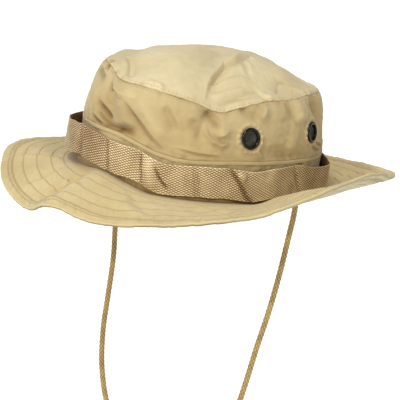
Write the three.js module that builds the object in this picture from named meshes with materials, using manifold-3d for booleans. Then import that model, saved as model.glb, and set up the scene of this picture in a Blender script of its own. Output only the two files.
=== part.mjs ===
// Jungle hat: a soft crown made of a top panel and a side wall, a crown band, a double-ply brim,
// a webbing band tacked round the crown, four screened vent eyelets and a chin cord.
// Millimetres, +Z up. The origin is the centre of the head opening, at the seam between crown and
// brim. The front of the hat faces -Y and the wearer's left faces +X. Angles round the hat are
// eccentric angles of the head ellipse in degrees, counter-clockwise from +X.

import * as THREE from 'three';
import Module from 'manifold-3d';
import { mergeVertices } from 'three/addons/utils/BufferGeometryUtils.js';

const wasm = await Module();
wasm.setup();

// ---- driving dimensions --------------------------------------------------------------------

const HEAD = { halfWidth: 84, halfLength: 105 }; // outside of the crown where it meets the brim
const GAP = 0.3; // between neighbouring pieces
const CLOTH = 1.5; // wall of the crown, with its seam allowances
const AROUND = 80; // steps round the hat

const BRIM_WIDTH = 60; // usual width from the crown seam to the rim, along the cloth
const BRIM_THICK = 2; // two plies and their stitching
const HEM_WIDTH = 7;
const HEM_THICK = 2.8;
const BRIM_UNDER_BAND = 2; // how far the brim's inner edge reaches in under the crown band
const BRIM_SPREAD = 0.6; // how much longer the rim is than the crown seam, as a share of it

const RIDGE_HEIGHT = 2.8; // the folded edge along the top of the crown band
const RIDGE_OUT = 1.1;
const RIDGE_ROUND = 0.6;

const SEAM_IN = 10; // the top seam lies this far inside the head ellipse
const TOP_LEVEL = 77; // height that the top panel evens out to at its centre, without its rise
const DOME_RISE = 21; // crown centre above the top seam
const DOME_POWER = 2.4; // flatness of the top panel

const WEBBING = { width: 22.5, thick: 1.4, steps: 100 };

const EYELET = { bore: 5.7, barrel: 6.5, flange: 8, bevel: 0.7, lip: 0.9, sag: 1, sides: 16 };
const SCREEN = { radius: 5.4, thick: 0.6, below: 0.9 };

const CORD = { radius: 2.2, leftEar: 8, rightEar: 172, sides: 10, steps: 56 };

// ---- tables, each read round the hat ---------------------------------------------------------

// height of the seam between crown and brim
const CROWN_SEAM_LINE = [
  { at: 0, z: -1.1 },
  { at: 11, z: -2.2 },
  { at: 22, z: -1.6 },
  { at: 38, z: -0.7 },
  { at: 60, z: 0 },
  { at: 130, z: 0 },
  { at: 200, z: 0.5 },
  { at: 240, z: 3.5 },
  { at: 254, z: 6 },
  { at: 262, z: 7.3 },
  { at: 270, z: 6.4 },
  { at: 280, z: 3.6 },
  { at: 292, z: 0 },
  { at: 330, z: 0 },
  { at: 350, z: -0.7 },
];

// height of the top edge of the crown band
const RIDGE_LINE = [
  { at: 0, z: 32 },
  { at: 30, z: 31 },
  { at: 90, z: 33 },
  { at: 150, z: 34 },
  { at: 200, z: 37 },
  { at: 240, z: 38 },
  { at: 270, z: 38.5 },
  { at: 281, z: 35.5 },
  { at: 293, z: 31 },
  { at: 306, z: 29 },
  { at: 330, z: 31.5 },
];

// height of the seam between the side wall and the top panel
const TOP_SEAM_LINE = [
  { at: 0, z: 76 },
  { at: 18, z: 78 },
  { at: 60, z: 74.5 },
  { at: 110, z: 75 },
  { at: 160, z: 78 },
  { at: 210, z: 79 },
  { at: 244, z: 80.5 },
  { at: 258, z: 74 },
  { at: 277, z: 74 },
  { at: 292, z: 72.5 },
  { at: 308, z: 69 },
  { at: 320, z: 64.5 },
  { at: 331, z: 69.5 },
  { at: 343, z: 74.5 },
];

// rim of the brim: its height, the width of the cloth from the crown seam to it, and the power of the
// rise between them
const RIM_LINE = [
  { at: 0, z: 29.5, wide: 60.1, bend: 0.95 },
  { at: 12, z: 34.4, wide: 67.4, bend: 1.15 },
  { at: 28, z: 25.8, wide: 62.9, bend: 1.15 },
  { at: 42, z: 21.8, wide: 63.1, bend: 1.4 },
  { at: 65, z: 12.9, wide: 62.3, bend: 1.7 },
  { at: 86, z: 6.2, wide: 60.2, bend: 1.7 },
  { at: 118, z: 1, wide: 59, bend: 1.7 },
  { at: 150, z: -4, wide: 58, bend: 1.7 },
  { at: 178, z: -7, wide: 57.5, bend: 1.7 },
  { at: 200, z: -4, wide: 58.5, bend: 1.7 },
  { at: 210, z: -6, wide: 59.5, bend: 1.6 },
  { at: 222, z: -11.5, wide: 57.5, bend: 1.4 },
  { at: 240, z: -20, wide: 57.8, bend: 1.15 },
  { at: 256, z: -24, wide: 58.8, bend: 1 },
  { at: 268.5, z: -12.5, wide: 60, bend: 1.5 },
  { at: 282, z: -15, wide: 60, bend: 1.7 },
  { at: 298, z: -8, wide: 60, bend: 1.7 },
  { at: 312, z: -0.5, wide: 60, bend: 1.7 },
  { at: 325, z: 6.6, wide: 59.7, bend: 1.75 },
  { at: 338, z: 17.4, wide: 60.1, bend: 1.25 },
  { at: 348, z: 26.4, wide: 63.7, bend: 0.7 },
];

// folds of the brim: middle, half length out from the crown, half width round it, and rise
const BRIM_FOLDS = [
  { at: 267, share: 0.35, long: 20, wide: 8, rise: 1.5 },
  { at: 257, share: 0.45, long: 26, wide: 10, rise: -1 },
  { at: 359, share: 0.22, long: 27, wide: 8, rise: 1.3 },
];

// middle of the webbing: its height, and how far it stands off the crown between its tacks
const WEBBING_LINE = [
  { at: 4, z: 16.6, off: 0.2 },
  { at: 15, z: 13.9, off: 3.8 },
  { at: 27, z: 14.2, off: 9 },
  { at: 40, z: 14.8, off: 2.7 },
  { at: 52, z: 15, off: 0 },
  { at: 74, z: 15, off: 1.6 },
  { at: 97, z: 15, off: 0 },
  { at: 119, z: 15, off: 1.6 },
  { at: 140, z: 15.5, off: 0 },
  { at: 164, z: 16.5, off: 1.6 },
  { at: 188, z: 18, off: 0 },
  { at: 205, z: 19.5, off: 6.5 },
  { at: 226, z: 21, off: 9 },
  { at: 247, z: 23.4, off: 3.5 },
  { at: 266, z: 20.3, off: 0 },
  { at: 276, z: 20, off: 1.6 },
  { at: 287, z: 17.8, off: 0 },
  { at: 292, z: 14.9, off: 1.2 },
  { at: 297, z: 12.8, off: 0 },
  { at: 314, z: 14.6, off: 1.4 },
  { at: 328, z: 15, off: 1 },
  { at: 338, z: 13.7, off: 2.4 },
  { at: 347, z: 15.4, off: 1.8 },
];

// section of the side wall: part of the way up from the ridge to the top seam, and how far outside
// the head ellipse it stands
const WALL_SECTION = [
  { part: 0, out: -0.8 },
  { part: 0.1, out: 0 },
  { part: 0.25, out: -0.6 },
  { part: 0.42, out: -1.8 },
  { part: 0.6, out: -3.4 },
  { part: 0.78, out: -5.4 },
  { part: 0.91, out: -7.6 },
  { part: 1, out: -SEAM_IN },
];

// folds and dents of the side wall: middle, half length along the fold, half width across it, the
// fold's slope from the horizontal in degrees, and how far it stands out
const WALL_FOLDS = [
  { at: 257, z: 62, long: 24, wide: 7, slope: -52, out: -4.5 },
  { at: 268, z: 62, long: 26, wide: 8, slope: -52, out: 2.5 },
  { at: 279, z: 52, long: 24, wide: 6, slope: -55, out: -3.5 },
  { at: 313, z: 58, long: 15, wide: 5, slope: 90, out: -4.5 },
  { at: 321, z: 52, long: 9, wide: 8, slope: 0, out: 2.5 },
  { at: 357, z: 58, long: 14, wide: 7, slope: 75, out: -2.5 },
  { at: 24, z: 62, long: 12, wide: 10, slope: 90, out: -4 },
  { at: 42, z: 44, long: 16, wide: 12, slope: 90, out: -1.8 },
  { at: 90, z: 56, long: 20, wide: 9, slope: 70, out: -3 },
  { at: 140, z: 56, long: 22, wide: 9, slope: -60, out: -3 },
  { at: 215, z: 58, long: 20, wide: 8, slope: 60, out: -2.5 },
];

// folds and dents of the top panel: middle, half length, half width, turn from +X, and rise
const TOP_FOLDS = [
  { x: 58, y: -14, long: 36, wide: 16, turn: 75, rise: -5 },
  { x: 24, y: 70, long: 34, wide: 16, turn: 150, rise: -6 },
  { x: 30, y: -40, long: 34, wide: 7, turn: 120, rise: -3.5 },
  { x: 14, y: -44, long: 34, wide: 9, turn: 118, rise: 2 },
  { x: -50, y: -52, long: 20, wide: 12, turn: 60, rise: 2.2 },
  { x: -44, y: 0, long: 40, wide: 18, turn: 80, rise: -3 },
  { x: 14, y: 44, long: 40, wide: 14, turn: 40, rise: -1 },
];

// parts of the wall, from the ridge and from the top seam, over which the folds run out
const HELD_LOW = 0.2;
const HELD_HIGH = 0.12;

const EYELETS = [
  { at: 334.8, z: 48.5 },
  { at: 14.2, z: 51 },
  { at: 165.8, z: 51 },
  { at: 205.2, z: 50 },
];

// the loop of the chin cord, from below the wearer's left ear to below the right one
const CORD_ROUTE = [
  { x: 84, y: 15, z: -12 },
  { x: 83, y: 14.5, z: -32 },
  { x: 81.5, y: 13.5, z: -60 },
  { x: 78.5, y: 12.5, z: -90 },
  { x: 74, y: 11.5, z: -120 },
  { x: 70, y: 11, z: -150 },
  { x: 65, y: 10.5, z: -178 },
  { x: 56, y: 10.5, z: -205 },
  { x: 40, y: 10.5, z: -226 },
  { x: 16, y: 10.5, z: -237 },
  { x: -12, y: 10.5, z: -238 },
  { x: -38, y: 10.5, z: -230 },
  { x: -58, y: 10.5, z: -211 },
  { x: -70, y: 10.5, z: -183 },
  { x: -75.5, y: 11, z: -152 },
  { x: -76.5, y: 11.5, z: -122 },
  { x: -78, y: 12.5, z: -91 },
  { x: -82.5, y: 13.5, z: -60 },
  { x: -84.5, y: 14.5, z: -32 },
  { x: -84.5, y: 15, z: -12 },
];

// ---- colours ---------------------------------------------------------------------------------

const cloth = { color: 0xcfb98d, roughness: 0.9, metalness: 0 };
const webbingCloth = { color: 0xa98a5c, roughness: 0.85, metalness: 0 };
const blackMetal = { color: 0x14140f, roughness: 0.35, metalness: 0.6 };
const screenMetal = { color: 0x2c2f26, roughness: 0.6, metalness: 0.4 };
const braid = { color: 0xab8a52, roughness: 0.9, metalness: 0 };

// ---- shared geometry -------------------------------------------------------------------------

const { degToRad, smoothstep } = THREE.MathUtils;
const FULL_TURN = 360;

// Reads a column of a table round the hat, on a smooth closed curve through the rows.
function readRound(table, column, at) {
  const count = table.length;
  const turned = (at - table[0].at + FULL_TURN) % FULL_TURN;
  const angle = (i) => table[((i % count) + count) % count].at - table[0].at
    + FULL_TURN * Math.floor(i / count);
  const value = (i) => table[((i % count) + count) % count][column];
  let i = 0;
  while (i < count - 1 && angle(i + 1) <= turned) i += 1;
  const slope = (k) => (value(k + 1) - value(k - 1)) / (angle(k + 1) - angle(k - 1));
  const span = angle(i + 1) - angle(i);
  const t = (turned - angle(i)) / span;
  return value(i) * (1 + 2 * t) * (1 - t) ** 2
    + value(i + 1) * t * t * (3 - 2 * t)
    + slope(i) * span * t * (1 - t) ** 2
    - slope(i + 1) * span * t * t * (1 - t);
}

// A point at height z, `out` mm outside the head ellipse at the angle `at`.
function aroundHead(at, out, z) {
  const a = degToRad(at);
  const across = HEAD.halfLength * Math.cos(a);
  const along = HEAD.halfWidth * Math.sin(a);
  const size = Math.hypot(across, along);
  const x = HEAD.halfWidth * Math.cos(a) + (out * across) / size;
  const y = HEAD.halfLength * Math.sin(a) + (out * along) / size;
  return new THREE.Vector3(x, y, z);
}

// Length of head ellipse between two nearby angles, with a sign.
function arcBetween(from, to) {
  const turn = ((to - from + 1.5 * FULL_TURN) % FULL_TURN) - FULL_TURN / 2;
  const middle = degToRad(from + turn / 2);
  const speed = Math.hypot(HEAD.halfWidth * Math.sin(middle), HEAD.halfLength * Math.cos(middle));
  return speed * degToRad(turn);
}

// A soft ridge along u and across v, 1 at its middle.
const ridge = (u, v, long, wide) => Math.exp(-((u / long) ** 2) - (v / wide) ** 2);

// Turns rows of points into a mesh. Rows join into a ring, and so do the points of each row, so the
// body is a closed loop of a closed section.
function loopBody(rows) {
  const size = rows[0].length;
  const positions = rows.flat().flatMap((point) => point.toArray());
  const faces = [];
  rows.forEach((row, i) => {
    const here = i * size;
    const next = ((i + 1) % rows.length) * size;
    row.forEach((point, k) => {
      const up = (k + 1) % size;
      faces.push(here + k, next + k, next + up);
      faces.push(here + k, next + up, here + up);
    });
  });
  return facedOut(positions, faces);
}

// Turns rows of points into a mesh. Rows join into a ring, and each row starts and ends at a point
// that all rows share.
function poleBody(first, rows, last) {
  const size = rows[0].length;
  const positions = [first, ...rows.flat(), last].flatMap((point) => point.toArray());
  const lastIndex = 1 + rows.length * size;
  const faces = [];
  rows.forEach((row, i) => {
    const here = 1 + i * size;
    const next = 1 + ((i + 1) % rows.length) * size;
    faces.push(0, next, here);
    for (let k = 0; k < size - 1; k += 1) {
      faces.push(here + k, next + k, next + k + 1);
      faces.push(here + k, next + k + 1, here + k + 1);
    }
    faces.push(here + size - 1, next + size - 1, lastIndex);
  });
  return facedOut(positions, faces);
}

// Builds the geometry with its faces pointing out, whichever way round they were listed.
function facedOut(positions, faces) {
  const corner = (i) => new THREE.Vector3().fromArray(positions, 3 * i);
  let volume = 0;
  for (let i = 0; i < faces.length; i += 3) {
    const side = corner(faces[i + 1]).cross(corner(faces[i + 2]));
    volume += corner(faces[i]).dot(side);
  }
  const ordered = volume > 0 ? faces : faces.slice().reverse();
  const geometry = new THREE.BufferGeometry();
  geometry.setAttribute('position', new THREE.Float32BufferAttribute(positions, 3));
  geometry.setIndex(ordered);
  return geometry;
}

function merged(geometry) {
  const bare = geometry.clone();
  bare.deleteAttribute('normal');
  bare.deleteAttribute('uv');
  return mergeVertices(bare);
}

function toSolid(geometry) {
  const bare = merged(geometry);
  return new wasm.Manifold(new wasm.Mesh({
    numProp: 3,
    vertProperties: new Float32Array(bare.attributes.position.array),
    triVerts: new Uint32Array(bare.index.array),
  }));
}

function fromSolid(solid) {
  const mesh = solid.getMesh();
  const geometry = new THREE.BufferGeometry();
  geometry.setAttribute('position', new THREE.Float32BufferAttribute(mesh.vertProperties, 3));
  geometry.setIndex(Array.from(mesh.triVerts));
  return geometry;
}

const stepsRound = (count) => Array.from({ length: count }, (_, i) => (FULL_TURN * i) / count);

// ---- crown -----------------------------------------------------------------------------------

// How far the folds move the side wall at an angle and height.
function wallFold(at, z) {
  return WALL_FOLDS.reduce((sum, fold) => {
    const x = arcBetween(fold.at, at);
    const up = z - fold.z;
    const slope = degToRad(fold.slope);
    const u = x * Math.cos(slope) + up * Math.sin(slope);
    const v = up * Math.cos(slope) - x * Math.sin(slope);
    return sum + fold.out * ridge(u, v, fold.long, fold.wide);
  }, 0);
}

// The folds run out at the two seams and round each eyelet, where the cloth is held.
function foldShare(at, z, part) {
  const seams = smoothstep(part, 0, HELD_LOW) * smoothstep(1 - part, 0, HELD_HIGH);
  return EYELETS.reduce((share, eyelet) => {
    const distance = Math.hypot(arcBetween(eyelet.at, at), z - eyelet.z);
    return share * smoothstep(distance, EYELET.flange, 2 * EYELET.flange);
  }, seams);
}

function wallPoint(at, section, inward) {
  const bottom = readRound(RIDGE_LINE, 'z', at) + GAP;
  const top = readRound(TOP_SEAM_LINE, 'z', at);
  const z = bottom + (top - bottom) * section.part;
  const fold = wallFold(at, z) * foldShare(at, z, section.part);
  return aroundHead(at, section.out + fold - inward, z);
}

function eyeletPlace(eyelet) {
  const bottom = readRound(RIDGE_LINE, 'z', eyelet.at) + GAP;
  const top = readRound(TOP_SEAM_LINE, 'z', eyelet.at);
  const part = (eyelet.z - bottom) / (top - bottom);
  const above = WALL_SECTION.findIndex((section) => section.part >= part);
  const low = WALL_SECTION[above - 1];
  const high = WALL_SECTION[above];
  const foot = wallPoint(eyelet.at, low, 0);
  const head = wallPoint(eyelet.at, high, 0);
  const middle = foot.clone().lerp(head, (part - low.part) / (high.part - low.part));
  const sideways = aroundHead(eyelet.at + 1, 0, 0).sub(aroundHead(eyelet.at - 1, 0, 0));
  const axis = sideways.cross(head.sub(foot)).normalize();
  return { middle, axis };
}

function placeOnWall(mesh, eyelet) {
  const { middle, axis } = eyeletPlace(eyelet);
  mesh.quaternion.setFromUnitVectors(new THREE.Vector3(0, 1, 0), axis);
  mesh.position.copy(middle);
  return mesh;
}

function crownSide() {
  const rows = stepsRound(AROUND).map((at) => [
    ...WALL_SECTION.map((section) => wallPoint(at, section, 0)),
    ...WALL_SECTION.slice().reverse().map((section) => wallPoint(at, section, CLOTH)),
  ]);
  const hole = new THREE.CylinderGeometry(EYELET.barrel + GAP, EYELET.barrel + GAP, 12, EYELET.sides);
  const solid = EYELETS.reduce((wall, eyelet) => {
    const drill = placeOnWall(new THREE.Mesh(hole), eyelet);
    drill.updateMatrix();
    return wall.subtract(toSolid(hole.clone().applyMatrix4(drill.matrix)));
  }, toSolid(loopBody(rows)));
  return fromSolid(solid);
}

function topPoint(at, share, below) {
  const seam = aroundHead(at, -SEAM_IN, 0);
  const x = seam.x * share;
  const y = seam.y * share;
  const base = readRound(TOP_SEAM_LINE, 'z', at) + GAP;
  const level = TOP_LEVEL + (base - TOP_LEVEL) * share ** 3;
  const fold = TOP_FOLDS.reduce((sum, row) => {
    const turn = degToRad(row.turn);
    const u = (x - row.x) * Math.cos(turn) + (y - row.y) * Math.sin(turn);
    const v = (y - row.y) * Math.cos(turn) - (x - row.x) * Math.sin(turn);
    return sum + row.rise * ridge(u, v, row.long, row.wide);
  }, 0);
  const dome = DOME_RISE * (1 - share ** DOME_POWER);
  const held = smoothstep(1 - share, 0, 0.15);
  return new THREE.Vector3(x, y, level + dome + fold * held - below);
}

function crownTop() {
  const shares = [0.22, 0.45, 0.66, 0.82, 0.93, 1];
  const rows = stepsRound(AROUND).map((at) => {
    const outer = shares.map((share) => topPoint(at, share, 0));
    const rim = aroundHead(at, -SEAM_IN - CLOTH, outer.at(-1).z);
    const inner = shares.slice(0, -1).reverse().map((share) => topPoint(at, share, CLOTH));
    return [...outer, rim, ...inner];
  });
  return poleBody(topPoint(0, 0, 0), rows, topPoint(0, 0, CLOTH));
}

function crownBand() {
  const rows = stepsRound(AROUND).map((at) => {
    const bottom = readRound(CROWN_SEAM_LINE, 'z', at) + GAP;
    const top = readRound(RIDGE_LINE, 'z', at);
    const section = [
      { out: -CLOTH, z: bottom },
      { out: 0, z: bottom },
      { out: 0, z: top - RIDGE_HEIGHT },
      { out: RIDGE_OUT, z: top - RIDGE_HEIGHT + RIDGE_ROUND },
      { out: RIDGE_OUT, z: top - RIDGE_ROUND },
      { out: RIDGE_OUT - RIDGE_ROUND, z: top },
      { out: -CLOTH, z: top },
    ];
    return section.map((point) => aroundHead(at, point.out, point.z));
  });
  return loopBody(rows);
}

// ---- brim ------------------------------------------------------------------------------------

// How far the folds lift the brim at an angle and a share of its width.
function brimFold(at, share) {
  const held = smoothstep(share, 0, 0.12) * smoothstep(1 - share, 0, 0.1);
  return held * BRIM_FOLDS.reduce((sum, fold) => {
    const out = (share - fold.share) * BRIM_WIDTH;
    const round = arcBetween(fold.at, at) * (1 + BRIM_SPREAD * share);
    return sum + fold.rise * ridge(out, round, fold.long, fold.wide);
  }, 0);
}

// A point of the brim at a share of its width, `up` from its middle surface.
function brimPoint(at, share, up) {
  const seam = readRound(CROWN_SEAM_LINE, 'z', at);
  const rise = readRound(RIM_LINE, 'z', at) - seam;
  const reach = Math.sqrt(readRound(RIM_LINE, 'wide', at) ** 2 - rise ** 2);
  const out = share < 0 ? share * BRIM_UNDER_BAND : share * reach;
  const bend = share < 0 ? 0 : share ** readRound(RIM_LINE, 'bend', at);
  const fold = share < 0 ? 0 : brimFold(at, share);
  return aroundHead(at, out, seam + rise * bend + fold - BRIM_THICK / 2 + up);
}

function brim() {
  const hem = 1 - HEM_WIDTH / BRIM_WIDTH;
  const section = [
    { share: -1, half: BRIM_THICK / 2 },
    { share: 0, half: BRIM_THICK / 2 },
    { share: 0.1, half: BRIM_THICK / 2 },
    { share: 0.3, half: BRIM_THICK / 2 },
    { share: 0.62, half: BRIM_THICK / 2 },
    { share: hem, half: BRIM_THICK / 2 },
    { share: hem + 0.01, half: HEM_THICK / 2 },
    { share: 1, half: HEM_THICK / 2 },
  ];
  const rows = stepsRound(AROUND).map((at) => [
    ...section.map((row) => brimPoint(at, row.share, row.half)),
    ...section.slice().reverse().map((row) => brimPoint(at, row.share, -row.half)),
  ]);
  return loopBody(rows);
}

// ---- webbing band ----------------------------------------------------------------------------

function webbingBand() {
  const rows = stepsRound(WEBBING.steps).map((at) => {
    const inside = GAP + Math.max(0, readRound(WEBBING_LINE, 'off', at));
    const outside = inside + WEBBING.thick;
    const middle = readRound(WEBBING_LINE, 'z', at);
    const low = middle - WEBBING.width / 2;
    const high = middle + WEBBING.width / 2;
    return [
      aroundHead(at, inside, low),
      aroundHead(at, outside, low),
      aroundHead(at, outside, high),
      aroundHead(at, inside, high),
    ];
  });
  return loopBody(rows);
}

// ---- vents -----------------------------------------------------------------------------------

// A ring with a flange on each side of the wall and a barrel through it, round the Y axis.
function eyeletRing() {
  const outerFace = 2 * GAP;
  const innerFace = -CLOTH - GAP - EYELET.sag; // the wall curves away inside the flat flange
  const profile = [
    { r: EYELET.bore, h: innerFace - EYELET.lip },
    { r: EYELET.flange, h: innerFace - EYELET.lip },
    { r: EYELET.flange, h: innerFace },
    { r: EYELET.barrel, h: innerFace },
    { r: EYELET.barrel, h: outerFace },
    { r: EYELET.flange, h: outerFace },
    { r: EYELET.flange - EYELET.bevel, h: outerFace + EYELET.lip },
    { r: EYELET.bore, h: outerFace + EYELET.lip },
  ];
  const rows = stepsRound(EYELET.sides).map((turn) => profile.map(({ r, h }) => {
    const a = degToRad(turn);
    return new THREE.Vector3(r * Math.cos(a), h, r * Math.sin(a));
  }));
  return loopBody(rows);
}

function screenDisc() {
  const disc = new THREE.CylinderGeometry(SCREEN.radius, SCREEN.radius, SCREEN.thick, EYELET.sides);
  return merged(disc.translate(0, -SCREEN.below, 0));
}

// ---- chin cord -------------------------------------------------------------------------------

function chinCord() {
  const top = (at) => readRound(CROWN_SEAM_LINE, 'z', at) - BRIM_THICK - 2 * GAP;
  const start = { ...CORD_ROUTE[0], z: top(CORD.leftEar) };
  const end = { ...CORD_ROUTE.at(-1), z: top(CORD.rightEar) };
  const route = [start, ...CORD_ROUTE, end].map(({ x, y, z }) => new THREE.Vector3(x, y, z));
  const section = new THREE.Shape(
    stepsRound(CORD.sides).map((turn) => new THREE.Vector2(
      CORD.radius * Math.cos(degToRad(turn)),
      CORD.radius * Math.sin(degToRad(turn)),
    )),
  );
  return merged(new THREE.ExtrudeGeometry(section, {
    steps: CORD.steps,
    extrudePath: new THREE.CatmullRomCurve3(route),
  }));
}

// ---- assembly --------------------------------------------------------------------------------

function named(name, geometry, look) {
  const mesh = new THREE.Mesh(geometry, new THREE.MeshStandardMaterial(look));
  mesh.name = name;
  return mesh;
}

const hat = new THREE.Group();
hat.add(named('crown_top', crownTop(), cloth));
hat.add(named('crown_side', crownSide(), cloth));
hat.add(named('crown_band', crownBand(), cloth));
hat.add(named('brim', brim(), cloth));
hat.add(named('webbing_band', webbingBand(), webbingCloth));
EYELETS.forEach((eyelet, i) => {
  hat.add(placeOnWall(named(`vent_eyelet_${i + 1}`, eyeletRing(), blackMetal), eyelet));
  hat.add(placeOnWall(named(`vent_screen_${i + 1}`, screenDisc(), screenMetal), eyelet));
});
hat.add(named('chin_cord', chinCord(), braid));

export default hat;
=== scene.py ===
"""Jungle hat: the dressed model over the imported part. Metres, +Z up.

The tables and curves below are in millimetres, as they are in the part's source. The origin is the
centre of the head opening, at the seam between crown and brim. The front of the hat faces -Y and
the wearer's left faces +X. Angles round the hat, called `at`, are eccentric angles of the head
ellipse in degrees, counter-clockwise from +X.
"""
import math

import bmesh
import bpy
import numpy as np
from mathutils import Matrix, Vector


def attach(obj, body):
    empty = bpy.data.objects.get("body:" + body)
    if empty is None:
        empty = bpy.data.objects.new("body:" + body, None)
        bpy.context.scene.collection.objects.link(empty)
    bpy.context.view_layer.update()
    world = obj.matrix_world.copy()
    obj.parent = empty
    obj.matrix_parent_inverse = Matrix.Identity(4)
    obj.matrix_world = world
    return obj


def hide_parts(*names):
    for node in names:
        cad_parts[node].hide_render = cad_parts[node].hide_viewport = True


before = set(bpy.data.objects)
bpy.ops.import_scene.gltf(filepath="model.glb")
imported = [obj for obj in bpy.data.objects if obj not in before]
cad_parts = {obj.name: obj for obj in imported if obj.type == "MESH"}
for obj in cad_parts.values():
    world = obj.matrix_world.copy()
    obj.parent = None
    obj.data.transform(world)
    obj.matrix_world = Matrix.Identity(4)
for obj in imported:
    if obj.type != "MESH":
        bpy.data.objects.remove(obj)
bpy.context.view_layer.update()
MM = 0.001
FULL_TURN = 360.0


def table(columns, *rows):
    """A short table as a dict of its named columns."""
    return dict(zip(columns.split(), np.array(rows, float).T))


# ---- driving dimensions, as in the part's source ---------------------------------------------

HALF_WIDTH, HALF_LENGTH = 84.0, 105.0  # outside of the crown where it meets the brim
GAP = 0.3
SEAM_GAP = 0.03  # what is left of the gap where two cloths are sewn edge to edge
CLOTH = 1.5
BRIM_WIDTH = 60.0
BRIM_THICK = 2.0
HEM_WIDTH = 7.0
HEM_THICK = 2.8
BRIM_UNDER_BAND = 2.0
BRIM_SPREAD = 0.6  # how much longer the rim is than the crown seam
RIDGE_HEIGHT = 2.8
RIDGE_OUT = 1.1
SEAM_IN = 10.0
TOP_LEVEL = 77.0
DOME_RISE = 21.0
DOME_POWER = 2.4
WEBBING_WIDTH = 22.5
WEBBING_THICK = 1.4
EYELET_BORE, EYELET_BARREL, EYELET_FLANGE = 5.7, 6.5, 8.0
CORD_RADIUS = 2.2

# height of the seam between crown and brim
CROWN_SEAM_LINE = table(
    "at z",
    (0, -1.1), (11, -2.2), (22, -1.6), (38, -0.7), (60, 0), (130, 0), (200, 0.5), (240, 3.5),
    (254, 6), (262, 7.3), (270, 6.4), (280, 3.6), (292, 0), (330, 0), (350, -0.7),
)
# height of the top edge of the crown band
RIDGE_LINE = table(
    "at z",
    (0, 32), (30, 31), (90, 33), (150, 34), (200, 37), (240, 38), (270, 38.5), (281, 35.5),
    (293, 31), (306, 29), (330, 31.5),
)
# height of the seam between side wall and top panel
TOP_SEAM_LINE = table(
    "at z",
    (0, 76), (18, 78), (60, 74.5), (110, 75), (160, 78), (210, 79), (244, 80.5), (258, 74),
    (277, 74), (292, 72.5), (308, 69), (320, 64.5), (331, 69.5), (343, 74.5),
)
# rim of the brim: height, width of cloth from the crown seam, and power of the rise to it
RIM_LINE = table(
    "at z wide bend",
    (0, 29.5, 60.1, 0.95), (12, 34.4, 67.4, 1.15), (28, 25.8, 62.9, 1.15), (42, 21.8, 63.1, 1.4),
    (65, 12.9, 62.3, 1.7), (86, 6.2, 60.2, 1.7), (118, 1, 59, 1.7), (150, -4, 58, 1.7),
    (178, -7, 57.5, 1.7), (200, -4, 58.5, 1.7), (210, -6, 59.5, 1.6), (222, -11.5, 57.5, 1.4),
    (240, -20, 57.8, 1.15), (256, -24, 58.8, 1.0), (268.5, -12.5, 60, 1.5), (282, -15, 60, 1.7),
    (298, -8, 60, 1.7), (312, -0.5, 60, 1.7), (325, 6.6, 59.7, 1.75), (338, 17.4, 60.1, 1.25),
    (348, 26.4, 63.7, 0.7),
)
# folds of the brim: middle, half length out from the crown, half width round it, and rise
BRIM_FOLDS = table(
    "at share long wide rise",
    (267, 0.35, 20, 8, 1.5), (257, 0.45, 26, 10, -1), (359, 0.22, 27, 8, 1.3),
)
# middle of the webbing: height, and how far it stands off the crown
WEBBING_LINE = table(
    "at z off",
    (4, 16.6, 0.2), (15, 13.9, 3.8), (27, 14.2, 9), (40, 14.8, 2.7), (52, 15, 0), (74, 15, 1.6),
    (97, 15, 0), (119, 15, 1.6), (140, 15.5, 0), (164, 16.5, 1.6), (188, 18, 0),
    (205, 19.5, 6.5), (226, 21, 9), (247, 23.4, 3.5), (266, 20.3, 0), (276, 20, 1.6),
    (287, 17.8, 0), (292, 14.9, 1.2), (297, 12.8, 0), (314, 14.6, 1.4), (328, 15, 1),
    (338, 13.7, 2.4), (347, 15.4, 1.8),
)
# section of the side wall: share of the way up, and mm outside the head ellipse
WALL_SECTION = table(
    "part out",
    (0, -0.8), (0.1, 0), (0.25, -0.6), (0.42, -1.8), (0.6, -3.4), (0.78, -5.4), (0.91, -7.6),
    (1, -10),
)
# folds of the side wall: middle, half length, half width, turn from level, and rise
WALL_FOLDS = table(
    "at z long wide turn rise",
    (257, 62, 24, 7, -52, -4.5), (268, 62, 26, 8, -52, 2.5), (279, 52, 24, 6, -55, -3.5),
    (313, 58, 15, 5, 90, -4.5), (321, 52, 9, 8, 0, 2.5), (357, 58, 14, 7, 75, -2.5),
    (24, 62, 12, 10, 90, -4), (42, 44, 16, 12, 90, -1.8), (90, 56, 20, 9, 70, -3),
    (140, 56, 22, 9, -60, -3), (215, 58, 20, 8, 60, -2.5),
)
# folds of the top panel: middle, half length, half width, turn from +X, and rise
TOP_FOLDS = table(
    "x y long wide turn rise",
    (58, -14, 36, 16, 75, -5), (24, 70, 34, 16, 150, -6), (30, -40, 34, 7, 120, -3.5),
    (14, -44, 34, 9, 118, 2), (-50, -52, 20, 12, 60, 2.2), (-44, 0, 40, 18, 80, -3),
    (14, 44, 40, 14, 40, -1),
)
EYELETS = table("at z", (334.8, 48.5), (14.2, 51), (165.8, 51), (205.2, 50))
HELD_LOW, HELD_HIGH = 0.2, 0.12  # shares of the wall at its seams over which folds die out
CORD_EARS = (8, 172)  # angles round the hat where the cord leaves the brim, left ear first
CORD_ROUTE = np.array([
    (84, 15, -12), (83, 14.5, -32), (81.5, 13.5, -60), (78.5, 12.5, -90), (74, 11.5, -120),
    (70, 11, -150), (65, 10.5, -178), (56, 10.5, -205), (40, 10.5, -226), (16, 10.5, -237),
    (-12, 10.5, -238), (-38, 10.5, -230), (-58, 10.5, -211), (-70, 10.5, -183),
    (-75.5, 11, -152), (-76.5, 11.5, -122), (-78, 12.5, -91), (-82.5, 13.5, -60),
    (-84.5, 14.5, -32), (-84.5, 15, -12),
], float)


# ---- camera ------------------------------------------------------------------------------------

VIEW = {"target": (4.3, 3.2, -20.5), "azimuth": 36.0, "elevation": 12.7, "roll": 9.5,
        "distance": 1600.0, "lens": 187.0}


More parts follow.
